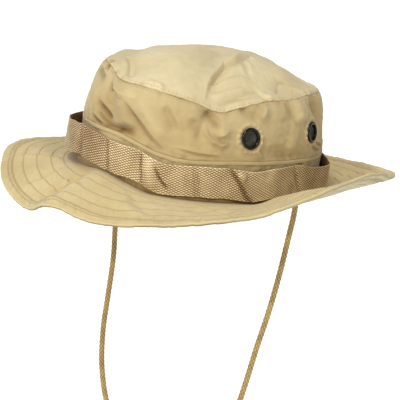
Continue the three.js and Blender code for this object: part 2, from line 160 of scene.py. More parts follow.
def direction(azimuth, elevation):
    """The way from the hat to something seen at that azimuth from the front, and elevation."""
    a, e = math.radians(azimuth), math.radians(elevation)
    return Vector((math.sin(a) * math.cos(e), -math.cos(a) * math.cos(e), math.sin(e)))


def make_camera():
    roll = math.radians(VIEW["roll"])
    right = direction(VIEW["azimuth"] + 90, 0)
    back = direction(VIEW["azimuth"], VIEW["elevation"])
    up = back.cross(right)
    camera_right = math.cos(roll) * right + math.sin(roll) * up
    camera_up = math.cos(roll) * up - math.sin(roll) * right
    camera = bpy.data.objects.new("camera", bpy.data.cameras.new("camera"))
    camera.data.lens = VIEW["lens"]
    camera.data.clip_end = 60
    turn = Matrix((camera_right, camera_up, back)).transposed().to_4x4()
    place = (Vector(VIEW["target"]) + back * VIEW["distance"]) * MM
    camera.matrix_world = Matrix.Translation(place) @ turn
    bpy.context.scene.collection.objects.link(camera)
    bpy.context.scene.camera = camera


make_camera()


# ---- shared geometry ---------------------------------------------------------------------------


def hermite(values, slopes, span, i, j, t):
    """A smooth curve from values[i] to values[j], `span` apart, at the share t of the way."""
    return (
        values[i] * (1 + 2 * t) * (1 - t) ** 2
        + values[j] * t * t * (3 - 2 * t)
        + slopes[i] * span * t * (1 - t) ** 2
        - slopes[j] * span * t * t * (1 - t)
    )


def read_round(line, column, at):
    """Reads a column of a table round the hat, on a smooth closed curve through the rows."""
    knots, values = line["at"], line[column]
    starts = knots - knots[0]
    span = np.diff(np.append(starts, FULL_TURN))
    rise = np.diff(np.append(values, values[0]))
    slopes = (rise + np.roll(rise, 1)) / (span + np.roll(span, 1))
    turned = (np.asarray(at, float) - knots[0]) % FULL_TURN
    i = np.searchsorted(starts, turned, side="right") - 1
    j = (i + 1) % len(knots)
    return hermite(values, slopes, span[i], i, j, (turned - starts[i]) / span[i])


def around_head(at, out, z):
    """Points at height z, `out` mm outside the head ellipse at the angles `at`."""
    a = np.radians(at)
    across = HALF_LENGTH * np.cos(a)
    along = HALF_WIDTH * np.sin(a)
    size = np.hypot(across, along)
    x = HALF_WIDTH * np.cos(a) + out * across / size
    y = HALF_LENGTH * np.sin(a) + out * along / size
    return np.stack(np.broadcast_arrays(x, y, z), axis=-1)


def outward(at):
    """The level unit vector that points out of the head ellipse at the angles `at`."""
    return around_head(at, 1, 0) - around_head(at, 0, 0)


def arc_between(start, to):
    """Length of head ellipse between two nearby angles, with a sign."""
    turn = (to - start + 1.5 * FULL_TURN) % FULL_TURN - FULL_TURN / 2
    middle = np.radians(start + turn / 2)
    speed = np.hypot(HALF_WIDTH * np.sin(middle), HALF_LENGTH * np.cos(middle))
    return speed * np.radians(turn)


def smoothstep(value, low, high):
    t = np.clip((value - low) / (high - low), 0, 1)
    return t * t * (3 - 2 * t)


def bell(value, width):
    """1 where the value is 0, falling off smoothly to both sides."""
    return np.exp(-((value / width) ** 2))


def fold_rise(x, y, row):
    """How far a table's fold stands up at (x, y) mm from its middle: a soft ridge."""
    turn = math.radians(row.get("turn", 0))
    u = x * math.cos(turn) + y * math.sin(turn)
    v = y * math.cos(turn) - x * math.sin(turn)
    return row["rise"] * np.exp(-((u / row["long"]) ** 2) - (v / row["wide"]) ** 2)


def rows_of(line):
    """The rows of a table, one dict each."""
    return [dict(zip(line, values)) for values in zip(*line.values())]


def around(count):
    """Even angles round the hat or round a tube, in degrees."""
    return np.arange(count) * FULL_TURN / count


def closed(points):
    """The points with the first one again at the end."""
    return np.vstack([points, points[:1]])


def run_along(path):
    """The distance along a path at each of its points."""
    return np.concatenate([[0], np.cumsum(np.linalg.norm(np.diff(path, axis=0), axis=1))])


def read_along(where, run, vectors):
    """Vectors read off at distances along a path."""
    return np.stack([np.interp(where, run, column) for column in vectors.T], -1)


def circles(turn, first, second):
    """At each pair of axes, a ring of offsets at the angles `turn` (radians) from first to second."""
    return np.cos(turn)[:, None] * first[:, None] + np.sin(turn)[:, None] * second[:, None]


def unit(vectors):
    return vectors / np.maximum(np.linalg.norm(vectors, axis=-1, keepdims=True), 1e-9)


def grid_normals(points):
    """Normals of a grid of points that closes along its first side."""
    along = np.roll(points, -1, axis=0) - np.roll(points, 1, axis=0)
    across = np.gradient(points, axis=1)
    return unit(np.cross(along, across))


WAVES = 24


def wave_noise(u, v, size, seed, stretch=1.0):
    """Smooth seeded noise of about -1 to 1 over (u, v) in mm: a sum of random plane waves."""
    draw = np.random.default_rng(seed)
    total = np.zeros(np.broadcast(u, v).shape)
    for _ in range(WAVES):
        turn = draw.uniform(0, 2 * math.pi)
        rate = 2 * math.pi / (size * draw.uniform(0.6, 1.6))
        phase = draw.uniform(0, 2 * math.pi)
        total += np.sin(rate * (u * math.cos(turn) + v * stretch * math.sin(turn)) + phase)
    return total / math.sqrt(WAVES / 2) * 0.6


def crease(wide, out, lip, shade, *line):
    """One crease of the cloth. It has a half width, a height at its line, a ridge on its left and a
    dip on its right (or the reverse, if lip is negative), and painted shade on its hollow side (a
    painted highlight, where the shade is negative)."""
    return {"wide": wide, "out": out, "lip": lip, "shade": shade, "rise": 0, "line": line}


def step(wide, rise, shade, *line):
    """A fold that lies over its neighbour: the cloth steps up to the left of the line (or down, if
    rise is negative), and levels off again over `wide` mm. Painted shade lies at the foot of the
    step."""
    return {"wide": wide, "shade": shade, "rise": rise, "line": line}


def line_distance(u, v, line):
    """Signed distance of points (u, v) from a bent line, and the share of the way along it."""
    ways = [np.subtract(b, a) for a, b in zip(line, line[1:])]
    lengths = [np.hypot(*way) for way in ways]
    nearest = np.full(np.broadcast(u, v).shape, np.inf)
    signed, along = np.zeros(nearest.shape), np.zeros(nearest.shape)
    run = 0.0
    for start, way, length in zip(line, ways, lengths):
        x, y = u - start[0], v - start[1]
        t = np.clip((x * way[0] + y * way[1]) / length**2, 0, 1)
        distance = np.hypot(x - t * way[0], y - t * way[1])
        closer = distance < nearest
        nearest = np.where(closer, distance, nearest)
        side = np.where(way[0] * y - way[1] * x >= 0, 1.0, -1.0)
        signed = np.where(closer, side * distance, signed)
        along = np.where(closer, (run + t * length) / sum(lengths), along)
        run += length
    return signed, along


CREASE_DEPTH = 2.15  # every crease's height is this many times its row's
CREASE_ENDS = 0.3  # share of a crease's length over which each end fades
STEP_DEPTH = 1.4  # every step's height is this many times its row's
STEP_EDGE = 0.13  # share of a step's width over which its edge rises


def crease_field(rows, place):
    """Height, and painted shade, that creases give. place(row) gives the points and the row's line,
    both in mm of flat cloth."""
    lift, shade = 0.0, 0.0
    for row in rows:
        u, v, line = place(row)
        signed, along = line_distance(u, v, line)
        t = signed / row["wide"]
        fade = smoothstep(along, -0.05, CREASE_ENDS) * smoothstep(1 - along, -0.05, CREASE_ENDS)
        if row["rise"]:
            side = np.sign(row["rise"])
            high = smoothstep(t * side, -STEP_EDGE, STEP_EDGE)
            level = abs(row["rise"]) * np.exp(-np.abs(t)) * (1.25 * high - 0.25)
            reach = 0.4 + 0.24 * row["wide"]  # mm that the shadow at the step's foot goes
            foot = bell(signed * side + 0.6 * reach, reach)
            lift = lift + STEP_DEPTH * fade * level
            shade = shade + fade * row["shade"] * foot
        else:
            bend = row["out"] * bell(t, 1) + 1.55 * row["lip"] * t * np.exp(-(t**2) / 2.2)
            hollow = bell(t + 0.8 * np.sign(row["lip"]), 1)
            lift = lift + CREASE_DEPTH * fade * bend
            shade = shade + fade * row["shade"] * hollow
    return lift, shade


def round_place(at, z):
    """A place function for creases given by angle and height round the head."""
    def place(row):
        start = row["line"][0][0]
        return arc_between(start, at), z, [(arc_between(start, a), b) for a, b in row["line"]]
    return place


# ---- meshes ------------------------------------------------------------------------------------


def build_mesh(name, points, faces, uv=None):
    """A mesh from points in mm and arrays of quads or triangles."""
    mesh = bpy.data.meshes.new(name)
    mesh.vertices.add(len(points))
    mesh.vertices.foreach_set("co", (np.asarray(points) * MM).astype(np.float32).ravel())
    corners = np.concatenate([part.ravel() for part in faces]).astype(np.int32)
    sizes = np.concatenate([np.full(len(part), part.shape[1]) for part in faces])
    mesh.loops.add(len(corners))
    mesh.loops.foreach_set("vertex_index", corners)
    mesh.polygons.add(len(sizes))
    starts = np.concatenate([[0], np.cumsum(sizes)[:-1]]).astype(np.int32)
    mesh.polygons.foreach_set("loop_start", starts)
    mesh.update(calc_edges=True)
    mesh.polygons.foreach_set("use_smooth", np.ones(len(sizes), bool))
    if uv is not None:
        layer = mesh.uv_layers.new(name="cloth")
        layer.uv.foreach_set("vector", (uv * MM).astype(np.float32).ravel())
    mesh.validate()
    return mesh


def point_values(mesh, name, values):
    """Stores a number at each point, for a material to read."""
    layer = mesh.attributes.new(name, "FLOAT", "POINT")
    layer.data.foreach_set("value", np.clip(values, 0, 1).astype(np.float32).ravel())


def add_piece(name, mesh, material, replaces=()):
    piece = bpy.data.objects.new(name, mesh)
    bpy.context.scene.collection.objects.link(piece)
    mesh.materials.append(material)
    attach(piece, "root")
    if replaces:
        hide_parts(*replaces)
    return piece


def edited(mesh, change=None):
    """Runs a change on the mesh as a BMesh, and turns its faces outwards."""
    work = bmesh.new()
    work.from_mesh(mesh)
    if change:
        change(work)
    if work.calc_volume(signed=True) < 0:
        bmesh.ops.reverse_faces(work, faces=work.faces)
    work.to_mesh(mesh)
    work.free()
    return mesh


def grid_quads(rows, columns, ring=True, close_across=True):
    """Quads of a grid of points. Its rows join into a ring and each closes, unless told not to."""
    i = np.arange(rows if ring else rows - 1)[:, None]
    k = np.arange(columns if close_across else columns - 1)[None, :]
    near, far = i * columns, ((i + 1) % rows) * columns
    up = (k + 1) % columns
    return np.stack([near + k, far + k, far + up, near + up], axis=-1).reshape(-1, 4)


def ring_uv(u, v, close_across=True):
    """Corner UVs of a ring's quads. u has a row more than the grid, and v a value a column."""
    columns = v.shape[-1]
    k = np.arange(columns if close_across else columns - 1)
    up = (k + 1) % columns
    shape = (len(u), columns)
    u, v = np.broadcast_to(u, shape), np.broadcast_to(v, shape)
    near, far = slice(None, -1), slice(1, None)
    corners = [
        np.stack([u[side][:, column], v[side][:, column]], -1)
        for side, column in ((near, k), (far, k), (far, up), (near, up))
    ]
    return np.stack(corners, axis=2).reshape(-1, 2)


def ring_mesh(name, at, points, v):
    """A closed band of cloth from points[round, across] at the angles `at`, its UVs in mm."""
    count, columns = points.shape[:2]
    u = np.concatenate([[0], np.cumsum(arc_between(at, np.roll(at, -1)))])
    uv = ring_uv(u[:, None], v[None, :])
    return build_mesh(name, points.reshape(-1, 3), [grid_quads(count, columns)], uv)


def joined(bodies):
    """The points and faces of several bodies as those of one."""
    points, faces, start = [], [], 0
    for body_points, body_faces in bodies:
        points.append(body_points)
        faces.append(body_faces + start)
        start += len(body_points)
    return np.concatenate(points), np.concatenate(faces)


STITCH_RINGS = (
    # part of the stitch's length, share of its radius, height in radii
    (-0.40, 0.75, -0.15), (-0.16, 1.0, 0.35), (0.16, 1.0, 0.35), (0.40, 0.75, -0.15),
)
STITCH_SIDES = 4
STITCH_RADIUS = 0.2


def stitch_faces():
    """Triangles of one stitch: the sides between its rings, then the two tips."""
    k = np.arange(STITCH_SIDES)
    up = (k + 1) % STITCH_SIDES
    faces = []
    for ring in range(len(STITCH_RINGS) - 1):
        low, high = ring * STITCH_SIDES, (ring + 1) * STITCH_SIDES
        faces.append(np.stack([low + k, low + up, high + up], -1))
        faces.append(np.stack([low + k, high + up, high + k], -1))
    tip = np.full(STITCH_SIDES, len(STITCH_RINGS) * STITCH_SIDES)
    faces.append(np.stack([tip, up, k], -1))
    faces.append(np.stack([tip + 1, high + k, high + up], -1))
    return np.concatenate(faces)


def stitches(path, normal, pitch, length):
    """Points and triangles of a row of stitches along a path on a surface."""
    run = run_along(path)
    count = int(run[-1] / pitch)
    middle = (np.arange(count) + 0.5) * run[-1] / count
    at = read_along(middle, run, path)
    up = unit(read_along(middle, run, normal))
    along = unit(read_along(middle + 0.5, run, path) - at)
    turn = np.radians(around(STITCH_SIDES))
    ring = circles(turn, unit(np.cross(along, up)), up)
    rings = []
    for part, share, height in STITCH_RINGS:
        centre = at + along * part * length + up * height * STITCH_RADIUS
        rings.append(centre[:, None] + share * STITCH_RADIUS * ring)
    tips = [at + along * part * length - up * 0.9 * STITCH_RADIUS for part in (-0.5, 0.5)]
    body = np.stack(rings, 1).reshape(count, -1, 3)
    points = np.concatenate([body, tips[0][:, None], tips[1][:, None]], axis=1)
    offsets = (np.arange(count) * points.shape[1])[:, None, None]
    return points.reshape(-1, 3), (stitch_faces()[None] + offsets).reshape(-1, 3)


def add_thread(name, lines, pitch, length):
    """One piece of the stitches along all the given lines, each a path and its normals."""
    points, faces = joined(stitches(path, normal, pitch, length) for path, normal in lines)
    add_piece(name, edited(build_mesh(name, points, [faces])), THREAD)


# ---- materials ---------------------------------------------------------------------------------


class Nodes:
    """A material's node tree, with short calls to add and link nodes."""

    def __init__(self, name):
        self.material = bpy.data.materials.new(name)
        self.material.use_nodes = True
        self.tree = self.material.node_tree
        self.shader = self.tree.nodes["Principled BSDF"]

    def add(self, kind, inputs=None, **settings):
        node = self.tree.nodes.new("ShaderNode" + kind)
        for key, value in settings.items():
            setattr(node, key, value)
        for key, value in (inputs or {}).items():
            self.put(node.inputs[key], value)
        return node

    def put(self, socket, value):
        if isinstance(value, bpy.types.NodeSocket):
            self.tree.links.new(value, socket)
        else:
            socket.default_value = value

    def math(self, operation, *values):
        node = self.add("Math", operation=operation)
        for socket, value in zip(node.inputs, values):
            self.put(socket, value)
        return node.outputs[0]

    def mix(self, share, first, second):
        node = self.add("Mix", data_type="RGBA")
        self.put(node.inputs["Factor"], share)
        self.put(node.inputs["A"], first)
        self.put(node.inputs["B"], second)
        return node.outputs["Result"]

    def span(self, value, low, high, to_low, to_high):
        node = self.add(
            "MapRange",
            {"From Min": low, "From Max": high, "To Min": to_low, "To Max": to_high},
        )
        self.put(node.inputs["Value"], value)
        return node.outputs["Result"]

    def noise(self, vector, scale, detail=2.0, roughness=0.5):
        node = self.add("TexNoise", {"Scale": scale, "Detail": detail, "Roughness": roughness})
        self.put(node.inputs["Vector"], vector)
        return node.outputs["Fac"]

    def bump(self, height, distance, strength, normal=None):
        node = self.add("Bump", {"Height": height, "Distance": distance, "Strength": strength})
        if normal is not None:
            self.put(node.inputs["Normal"], normal)
        return node.outputs["Normal"]

    def attribute(self, name):
        return self.add("Attribute", attribute_name=name, attribute_type="GEOMETRY").outputs["Fac"]

    def place(self):
        """The point's place in the object, in metres."""
        return self.add("TexCoord").outputs["Object"]

    def cloth_uv(self):
        return self.add("UVMap", uv_map="cloth").outputs["UV"]

    def stretched(self, vector, across, along):
        return self.add("Mapping", {"Vector": vector, "Scale": (across, along, 1)}).outputs[0]

    def vary(self, tone, noise, swing):
        """The tone, with a noise's ups and downs of about `swing` each way."""
        return self.math("ADD", tone, self.span(noise, 0.3, 0.7, -swing, swing))

    def ramp(self, value, first, last, *between):
        """A colour ramp through (position, colour) stops."""
        node = self.add("ValToRGB", {"Fac": value})
        stops = node.color_ramp.elements
        stops[0].position, stops[0].color = first
        stops[1].position, stops[1].color = last
        for position, shade in between:
            stops.new(position).color = shade
        return node.outputs["Color"]

    def finish(self, inputs):
        """Sets or links the shader's inputs, and gives the material."""
        for key, value in inputs.items():
            self.put(self.shader.inputs[key], value)
        return self.material


def colour(red, green, blue):
    """A linear colour from sRGB parts of 0 to 255."""
    parts = np.array([red, green, blue]) / 255
    linear = np.where(parts <= 0.04045, parts / 12.92, ((parts + 0.055) / 1.055) ** 2.4)
    return (*linear.tolist(), 1.0)


LIT_LOW, LIT_HIGH = 0.044, 0.080  # metres above the crown seam over which the wall is painted lighter: painted light from above
LIT_SHARE = 0.6  # how far it goes to the paler colour of the painted light
YARN = 0.00055  # metres from one yarn of the cloth to the next


def cloth_material(name, pale, deep, shade_colour, lit_colour=None):
    """Cotton cloth: a fine diagonal twill, soft tone changes, and painted shade in creases and seams,
    where the crease attribute mixes in the shade colour. If a colour for the top is given, the cloth
    is painted towards it higher up the wall: painted light from above."""
    n = Nodes(name)
    uv = n.cloth_uv()
    place = n.place()
    parts = n.add("SeparateXYZ", {"Vector": uv})
    across, along = parts.outputs["X"], parts.outputs["Y"]
    turns = 2 * math.pi / YARN
    twill = n.math("SINE", n.math("MULTIPLY", n.math("ADD", across, along), turns))
    yarn = n.math("SINE", n.math("MULTIPLY", n.math("SUBTRACT", across, along), turns * 0.55))
    weave = n.math("ADD", twill, n.math("MULTIPLY", yarn, 0.5))
    broad = n.noise(place, 22.0, 3.0)
    mottle = n.noise(place, 160.0, 3.0)
    slub = n.noise(n.stretched(uv, 260, 2600), 1.0, 1.0)
    tone = n.vary(n.vary(n.span(broad, 0.3, 0.7, -0.5, 0.5), mottle, 0.25), slub, 0.15)
    tone = n.math("ADD", tone, n.math("MULTIPLY", weave, 0.10))
    base = n.mix(n.span(tone, -0.9, 0.9, 0.0, 1.0), deep, pale)
    # Painted light from above: the wall is painted paler towards its top seam.
    if lit_colour:
        height = n.vary(n.add("SeparateXYZ", {"Vector": place}).outputs["Z"], broad, 0.006)
        base = n.mix(n.span(height, LIT_LOW, LIT_HIGH, 0.0, LIT_SHARE), base, lit_colour)
    soft = n.bump(mottle, 0.0006, 0.35)
    return n.finish({
        # Painted shade: the crease attribute mixes in the shade colour.
        "Base Color": n.mix(n.attribute("crease"), base, shade_colour),
        "Roughness": n.span(tone, -1.0, 1.0, 0.86, 0.74),
        "Specular IOR Level": 0.3,
        "Sheen Weight": 0.25,
        "Sheen Roughness": 0.45,
        "Normal": n.bump(weave, 0.00012, 0.45, soft),
    })


def webbing_material(name):
    """Woven webbing: pale where yarns pass over, a painted highlight, and brown in the gaps between
    them, painted shade.
    """
    n = Nodes(name)
    fibre = n.noise(n.stretched(n.cloth_uv(), 900, 5200), 1.0, 2.0)
    blotch = n.noise(n.place(), 90.0, 3.0)
    tone = n.vary(n.vary(n.attribute("relief"), fibre, 0.16), blotch, 0.10)
    gap, pale, middle = colour(102, 68, 32), colour(248, 231, 188), colour(169, 142, 98)
    return n.finish({
        "Base Color": n.ramp(tone, (0.05, gap), (0.95, pale), (0.5, middle)),
        "Roughness": n.span(fibre, 0.3, 0.7, 0.8, 0.62),
        "Specular IOR Level": 0.35,
        "Sheen Weight": 0.15,
        "Normal": n.bump(fibre, 0.0002, 0.5),
    })


def thread_material(name, pale, deep):
    """Sewing thread: two plies that wind round each other."""
    n = Nodes(name)
    ply = n.noise(n.place(), 2400.0, 1.0)
    return n.finish({
        "Base Color": n.mix(n.span(ply, 0.35, 0.65, 0, 1), deep, pale),
        "Roughness": n.span(ply, 0.3, 0.7, 0.7, 0.5),
        "Normal": n.bump(ply, 0.0002, 0.6),
    })


def braid_material(name):
    """Braided cord: pale strands, and brown painted shade in the gaps between them, following their
    relief.
    """
    n = Nodes(name)
    fibre = n.noise(n.place(), 3000.0, 2.0)
    blotch = n.noise(n.place(), 120.0, 2.0)
    tone = n.vary(n.vary(n.attribute("relief"), fibre, 0.15), blotch, 0.15)
    return n.finish({
        "Base Color": n.ramp(tone, (0.1, colour(92, 70, 30)), (0.95, colour(196, 166, 104))),
        "Roughness": n.span(fibre, 0.3, 0.7, 0.85, 0.7),
        "Sheen Weight": 0.1,
        "Normal": n.bump(fibre, 0.0002, 0.5),
    })


def enamel_material(name, dark, worn, rough_low, rough_high, metal):
    """Blackened metal: glossy, with faint brushing and paler wear."""
    n = Nodes(name)
    place = n.place()
    brushed = n.noise(place, 700.0, 3.0)
    wear = n.noise(place, 260.0, 4.0, 0.7)
    return n.finish({
        "Base Color": n.mix(n.span(wear, 0.5, 0.75, 0, 1), dark, worn),
        "Roughness": n.span(brushed, 0.3, 0.7, rough_low, rough_high),
        "Metallic": metal,
        "Normal": n.bump(brushed, 0.0002, 0.15),
    })


# One khaki cloth in four copies, painted for the light that falls on each part: the top palest
# (painted light from above), the brim a little darker, the underside darker and greyer (painted
# shade), and the side wall and band deeper and warmer (painted shade).
LIT_TOP = cloth_material(
    "khaki_top_lit", colour(226, 212, 172), colour(208, 191, 146), colour(146, 118, 64)
)
BRIM = cloth_material(
    "khaki_brim", colour(218, 200, 152), colour(198, 177, 123), colour(140, 110, 54)
)
SHADED_UNDER = cloth_material(
    "khaki_under_shaded", colour(206, 193, 155), colour(190, 175, 135), colour(116, 102, 72)
)
SHADED_SIDE = cloth_material(
    "khaki_side_shaded", colour(204, 184, 136), colour(185, 161, 108), colour(128, 94, 44),
    lit_colour=colour(214, 198, 152),
)
THREAD = thread_material("khaki_thread", colour(206, 184, 136), colour(166, 142, 94))
WEBBING = webbing_material("woven_webbing")
BRAID = braid_material("braided_cord")
BLACK = enamel_material("black_enamel", colour(18, 17, 15), colour(44, 42, 36), 0.10, 0.22, 0.3)
SCREEN = enamel_material("screen_wire", colour(52, 54, 44), colour(96, 98, 82), 0.4, 0.6, 0.5)


# ---- chin cord ---------------------------------------------------------------------------------

CORD_STEPS, CORD_SIDES = 1100, 22
BRAID_CELLS = 5  # strands each way round the cord
BRAID_PITCH = 3.6  # mm of cord for a strand to move on by one cell
ROUTE_SAMPLES = 60  # on each stretch between two points of the route


def smooth_route(points, count):
    """Evenly spaced points on a centripetal Catmull-Rom curve, as the part's cord follows."""
    ends = np.vstack([2 * points[0] - points[1], points, 2 * points[-1] - points[-2]])
    pieces = []
    share = np.linspace(0, 1, ROUTE_SAMPLES, endpoint=False)[:, None]
    for a, b, c, d in zip(ends, ends[1:], ends[2:], ends[3:]):
        t = np.cumsum([0] + [np.sqrt(np.linalg.norm(q - p)) for p, q in ((a, b), (b, c), (c, d))])
        at = t[1] + (t[2] - t[1]) * share
        ab = a + (b - a) * (at - t[0]) / (t[1] - t[0])
        bc = b + (c - b) * (at - t[1]) / (t[2] - t[1])
        cd = c + (d - c) * (at - t[2]) / (t[3] - t[2])
        left = ab + (bc - ab) * (at - t[0]) / (t[2] - t[0])
        right = bc + (cd - bc) * (at - t[1]) / (t[3] - t[1])
        pieces.append(left + (right - left) * (at - t[1]) / (t[2] - t[1]))
    fine = np.vstack(pieces + [points[-1:]])
    run = run_along(fine)
    even = np.linspace(0, run[-1], count)
    return read_along(even, run, fine), even


def braid_relief(turn, run):
    """How high the strands of the braid stand, 0 to 1, at angles round the cord and mm along it."""
    p = BRAID_CELLS * turn[None, :] / (2 * math.pi) + run[:, None] / BRAID_PITCH
    q = BRAID_CELLS * turn[None, :] / (2 * math.pi) - run[:, None] / BRAID_PITCH
    first = (np.floor(p) + np.floor(q)) % 2 < 1
    across = np.where(first, p, q) % 1
    along = np.where(first, q, p) % 1
    return np.sin(math.pi * across) ** 0.6 * np.sin(math.pi * along) ** 0.35


def tube_caps(count, sides):
    """Triangles that close a tube's ends, to two points after its own."""
    k = np.arange(sides)
    up = (k + 1) % sides
    tip, last = np.full(sides, count), count - sides
    return [np.stack([tip, k, up], -1), np.stack([tip + 1, last + up, last + k], -1)]


def make_cord():
    tops = read_round(CROWN_SEAM_LINE, "z", CORD_EARS) - BRIM_THICK - 2 * GAP
    ends = [(*CORD_ROUTE[k, :2], top) for k, top in zip((0, -1), tops)]
    path, run = smooth_route(np.vstack([ends[:1], CORD_ROUTE, ends[1:]]), CORD_STEPS)
    tangent = unit(np.gradient(path, axis=0))
    side = unit(np.cross(tangent, (0, 1, 0)))
    turn = np.radians(around(CORD_SIDES))
    relief = braid_relief(turn, run)
    radius = CORD_RADIUS * (0.86 + 0.17 * relief)
    points = path[:, None] + radius[..., None] * circles(turn, side, np.cross(side, tangent))
    quads = grid_quads(CORD_STEPS, CORD_SIDES, ring=False)
    caps = tube_caps(CORD_STEPS * CORD_SIDES, CORD_SIDES)
    vertices = np.vstack([points.reshape(-1, 3), path[:1], path[-1:]])
    mesh = edited(build_mesh("chin_cord_braid", vertices, [quads, *caps]))
    # The braid's relief also paints its colour: painted shade in the gaps between strands.
    point_values(mesh, "relief", np.append(relief.ravel(), [0, 0]))
    piece = add_piece("chin_cord_braid", mesh, BRAID, ["chin_cord"])


make_cord()


# ---- crown -------------------------------------------------------------------------------------

ROUND = 720  # steps round the hat
INSIDE_SHADE = 0.1  # painted shade on the faces that look inwards, mixed in as crease colour
STITCH_LIFT = 0.02  # mm from the cloth to the line that its stitches follow

WALL_CREASES = (
    # crease: half width, height, lip, painted shade (below 0, a painted highlight); step: half width,
    # rise, painted shade; then points of the line as (angle, height). A row with no height only
    # paints shade over a broad stretch.
    step(9, 2.2, 0.25, (267, 63), (273, 59), (278, 53.5), (284, 47.5), (292, 38), (296, 33)),
    crease(1.2, -0.9, 0.3, 0.55, (246, 45), (253, 42), (261, 39)),
    crease(1, -0.6, 0.2, 0.4, (251, 49), (258, 45), (264, 42.5)),
    crease(2, -1.3, 0.9, 0.45, (248, 56), (255, 52), (260, 49), (265, 45)),
    crease(2.8, -1.8, 0.4, 0.6, (260, 43), (267, 40.5), (274, 43), (282, 42.5)),
    crease(1.1, -1.3, 0.2, 0.65, (252, 71), (253.5, 67), (255, 63)),
    crease(2.4, 1.5, 0.5, -0.14, (250, 71), (260, 68), (272, 64)),
    crease(2, -1.4, 0, 0.5, (238, 77), (241, 79), (246, 78)),
    crease(2.6, -1.3, 0.5, 0.4, (227, 77), (237, 74), (248, 70)),
    crease(2.2, 1.2, 0, 0, (243, 64), (246, 54), (249, 47)),
    crease(4, -0.9, 0.5, 0.14, (306, 60), (310, 53), (314, 44)),
    crease(3.4, -1.9, 0.6, 0.42, (313, 66), (316, 62), (321, 56)),
    crease(1.5, 1.1, -0.6, 0.22, (313, 56), (314.5, 49), (317, 45.5), (321, 43), (325, 44.5)),
    crease(4.5, 1.6, 0, -0.12, (319, 57), (321, 52), (322, 48)),
    crease(2.6, 1.4, 0.5, 0.2, (343, 74), (341, 68), (339, 62)),
    crease(4, -1.2, 0, 0.28, (328, 70), (334, 66), (340, 61)),
    step(6, 1.5, 0.3, (354, 77), (358, 67), (4, 55)),
    step(5, -1.2, 0.45, (8, 76), (11.5, 69), (7, 57)),
    crease(5, 1.1, 0.3, -0.6, (1, 79), (4, 67), (4.5, 58)),
    crease(5, 0.6, 0.3, -0.3, (352, 60), (356, 50), (2, 40)),
    crease(4, 0.5, 0, -0.12, (275, 66), (284, 57), (297, 41)),
    crease(28, 0, 0, 0.26, (264, 8), (268, 66)),
    crease(3, 0.9, 0, -0.14, (268, 72), (271, 67), (276, 64)),
    crease(5, -2, 0.5, 0.6, (14, 77), (20, 71), (28, 63)),
    crease(4, -0.8, 0.2, 0.22, (340, 44), (352, 38), (7, 35)),
    crease(1.3, 0.9, -0.4, 0.2, (336, 43), (340, 38), (343, 34)),
    crease(1.1, -0.8, 0.3, 0.35, (15, 41), (20, 37), (27, 34)),
    crease(1.1, -0.7, 0.3, 0.3, (20, 43), (26, 39), (32, 36)),
    crease(1, -0.5, 0.3, 0.25, (300, 36), (312, 34), (322, 34)),
    crease(3, -1, 0.8, 0.18, (292, 66), (297, 56), (301, 47)),
    crease(2.5, -1.2, 0.9, 0.25, (84, 66), (92, 54), (97, 42)),
    crease(2, -1.1, 0.7, 0.25, (112, 70), (118, 58), (121, 44)),
    crease(2.5, -1.2, -0.9, 0.25, (152, 66), (146, 54), (143, 42)),
    crease(2, -1, 0.6, 0.25, (186, 70), (190, 58), (188, 46)),
    crease(1.3, -0.8, 0.3, 0.3, (60, 44), (72, 40), (84, 38)),
    crease(1.3, -0.8, 0.3, 0.3, (128, 44), (140, 41), (154, 40)),
    crease(2.2, -1, 0.8, 0.22, (48, 70), (54, 60), (56, 48)),
)
TOP_CREASES = (
    # crease: half width, height, lip, painted shade (below 0, a painted highlight); step: half width,
    # rise, painted shade; then points of the line as (x, y). A row with little or no height mostly
    # paints shade over a broad stretch.
    step(
        9, -4, 0.22,
        (20, 16), (24, 3), (29, -16), (28.5, -28), (33, -44), (38, -56), (46, -68),
    ),
    crease(1.2, -0.6, 0.2, 0.12, (22, 10), (27, 10)),
    crease(10, -0.5, 0, 0.24, (40, 40), (60, 22), (74, -5)),
    crease(1.8, -0.7, 0.4, 0.18, (30, -3), (37, -10), (45, -17)),
    crease(9, -1.5, -0.9, 0.14, (-6, 8), (4, -20), (16, -54), (24, -80)),
    crease(2.8, 1.1, -0.5, 0.08, (37, -54), (42, -36), (48, -17)),
    crease(2.6, 0.9, -0.6, 0.1, (45, -60), (50, -44), (55, -28)),
    crease(2.8, -1.3, 0.4, 0.34, (48, -62), (53, -46), (59, -22)),
    crease(3, -1.5, 0.6, 0.5, (56, -22), (63, -24), (71, -22)),
    crease(5, -1.5, 0.5, 0.45, (57, 17), (64, 7), (72, -5)),
    crease(3.8, 1.1, 0, 0, (61, 14), (67, 18), (73, 21)),
    crease(2.4, 1, -0.4, 0.1, (8, -90), (14, -88), (22, -86)),
    crease(2.6, -0.9, 0.5, 0.14, (-8, -92), (-18, -78), (-30, -70)),
    crease(1.6, -1, 0.4, 0.45, (-33, -84), (-38, -78), (-46, -74)),
    crease(6, -0.4, 0.3, 0.08, (-58, -20), (-44, -34), (-26, -60)),
    crease(3, -0.4, 0.3, 0.12, (-20, 78), (-8, 58), (-4, 36)),
    crease(3.5, -0.5, -0.3, 0.12, (30, 70), (22, 50), (24, 30)),
    crease(3, -0.3, 0.2, 0.1, (-62, 30), (-46, 22), (-26, 24)),
    crease(14, 0, 0, 0.16, (-60, -45), (-30, -78), (0, -92)),
)
SEAM_DIP = 0.5  # mm that the cloth turns in at a seam
SEAM_STITCH = 1.6  # mm from the top seam to the row of stitches on each side of it
WALL_RISE, TOP_REACH = 42, 85  # rough mm of cloth up the wall, and from the top's middle out
WALL_COLUMNS, WALL_INNER_COLUMNS = 96, 20
WALL_UV = 45  # mm of cloth up the wall that the weave is laid out over
TOP_EDGE = 0.8  # share of the way from the top's middle beyond which its points lie closer
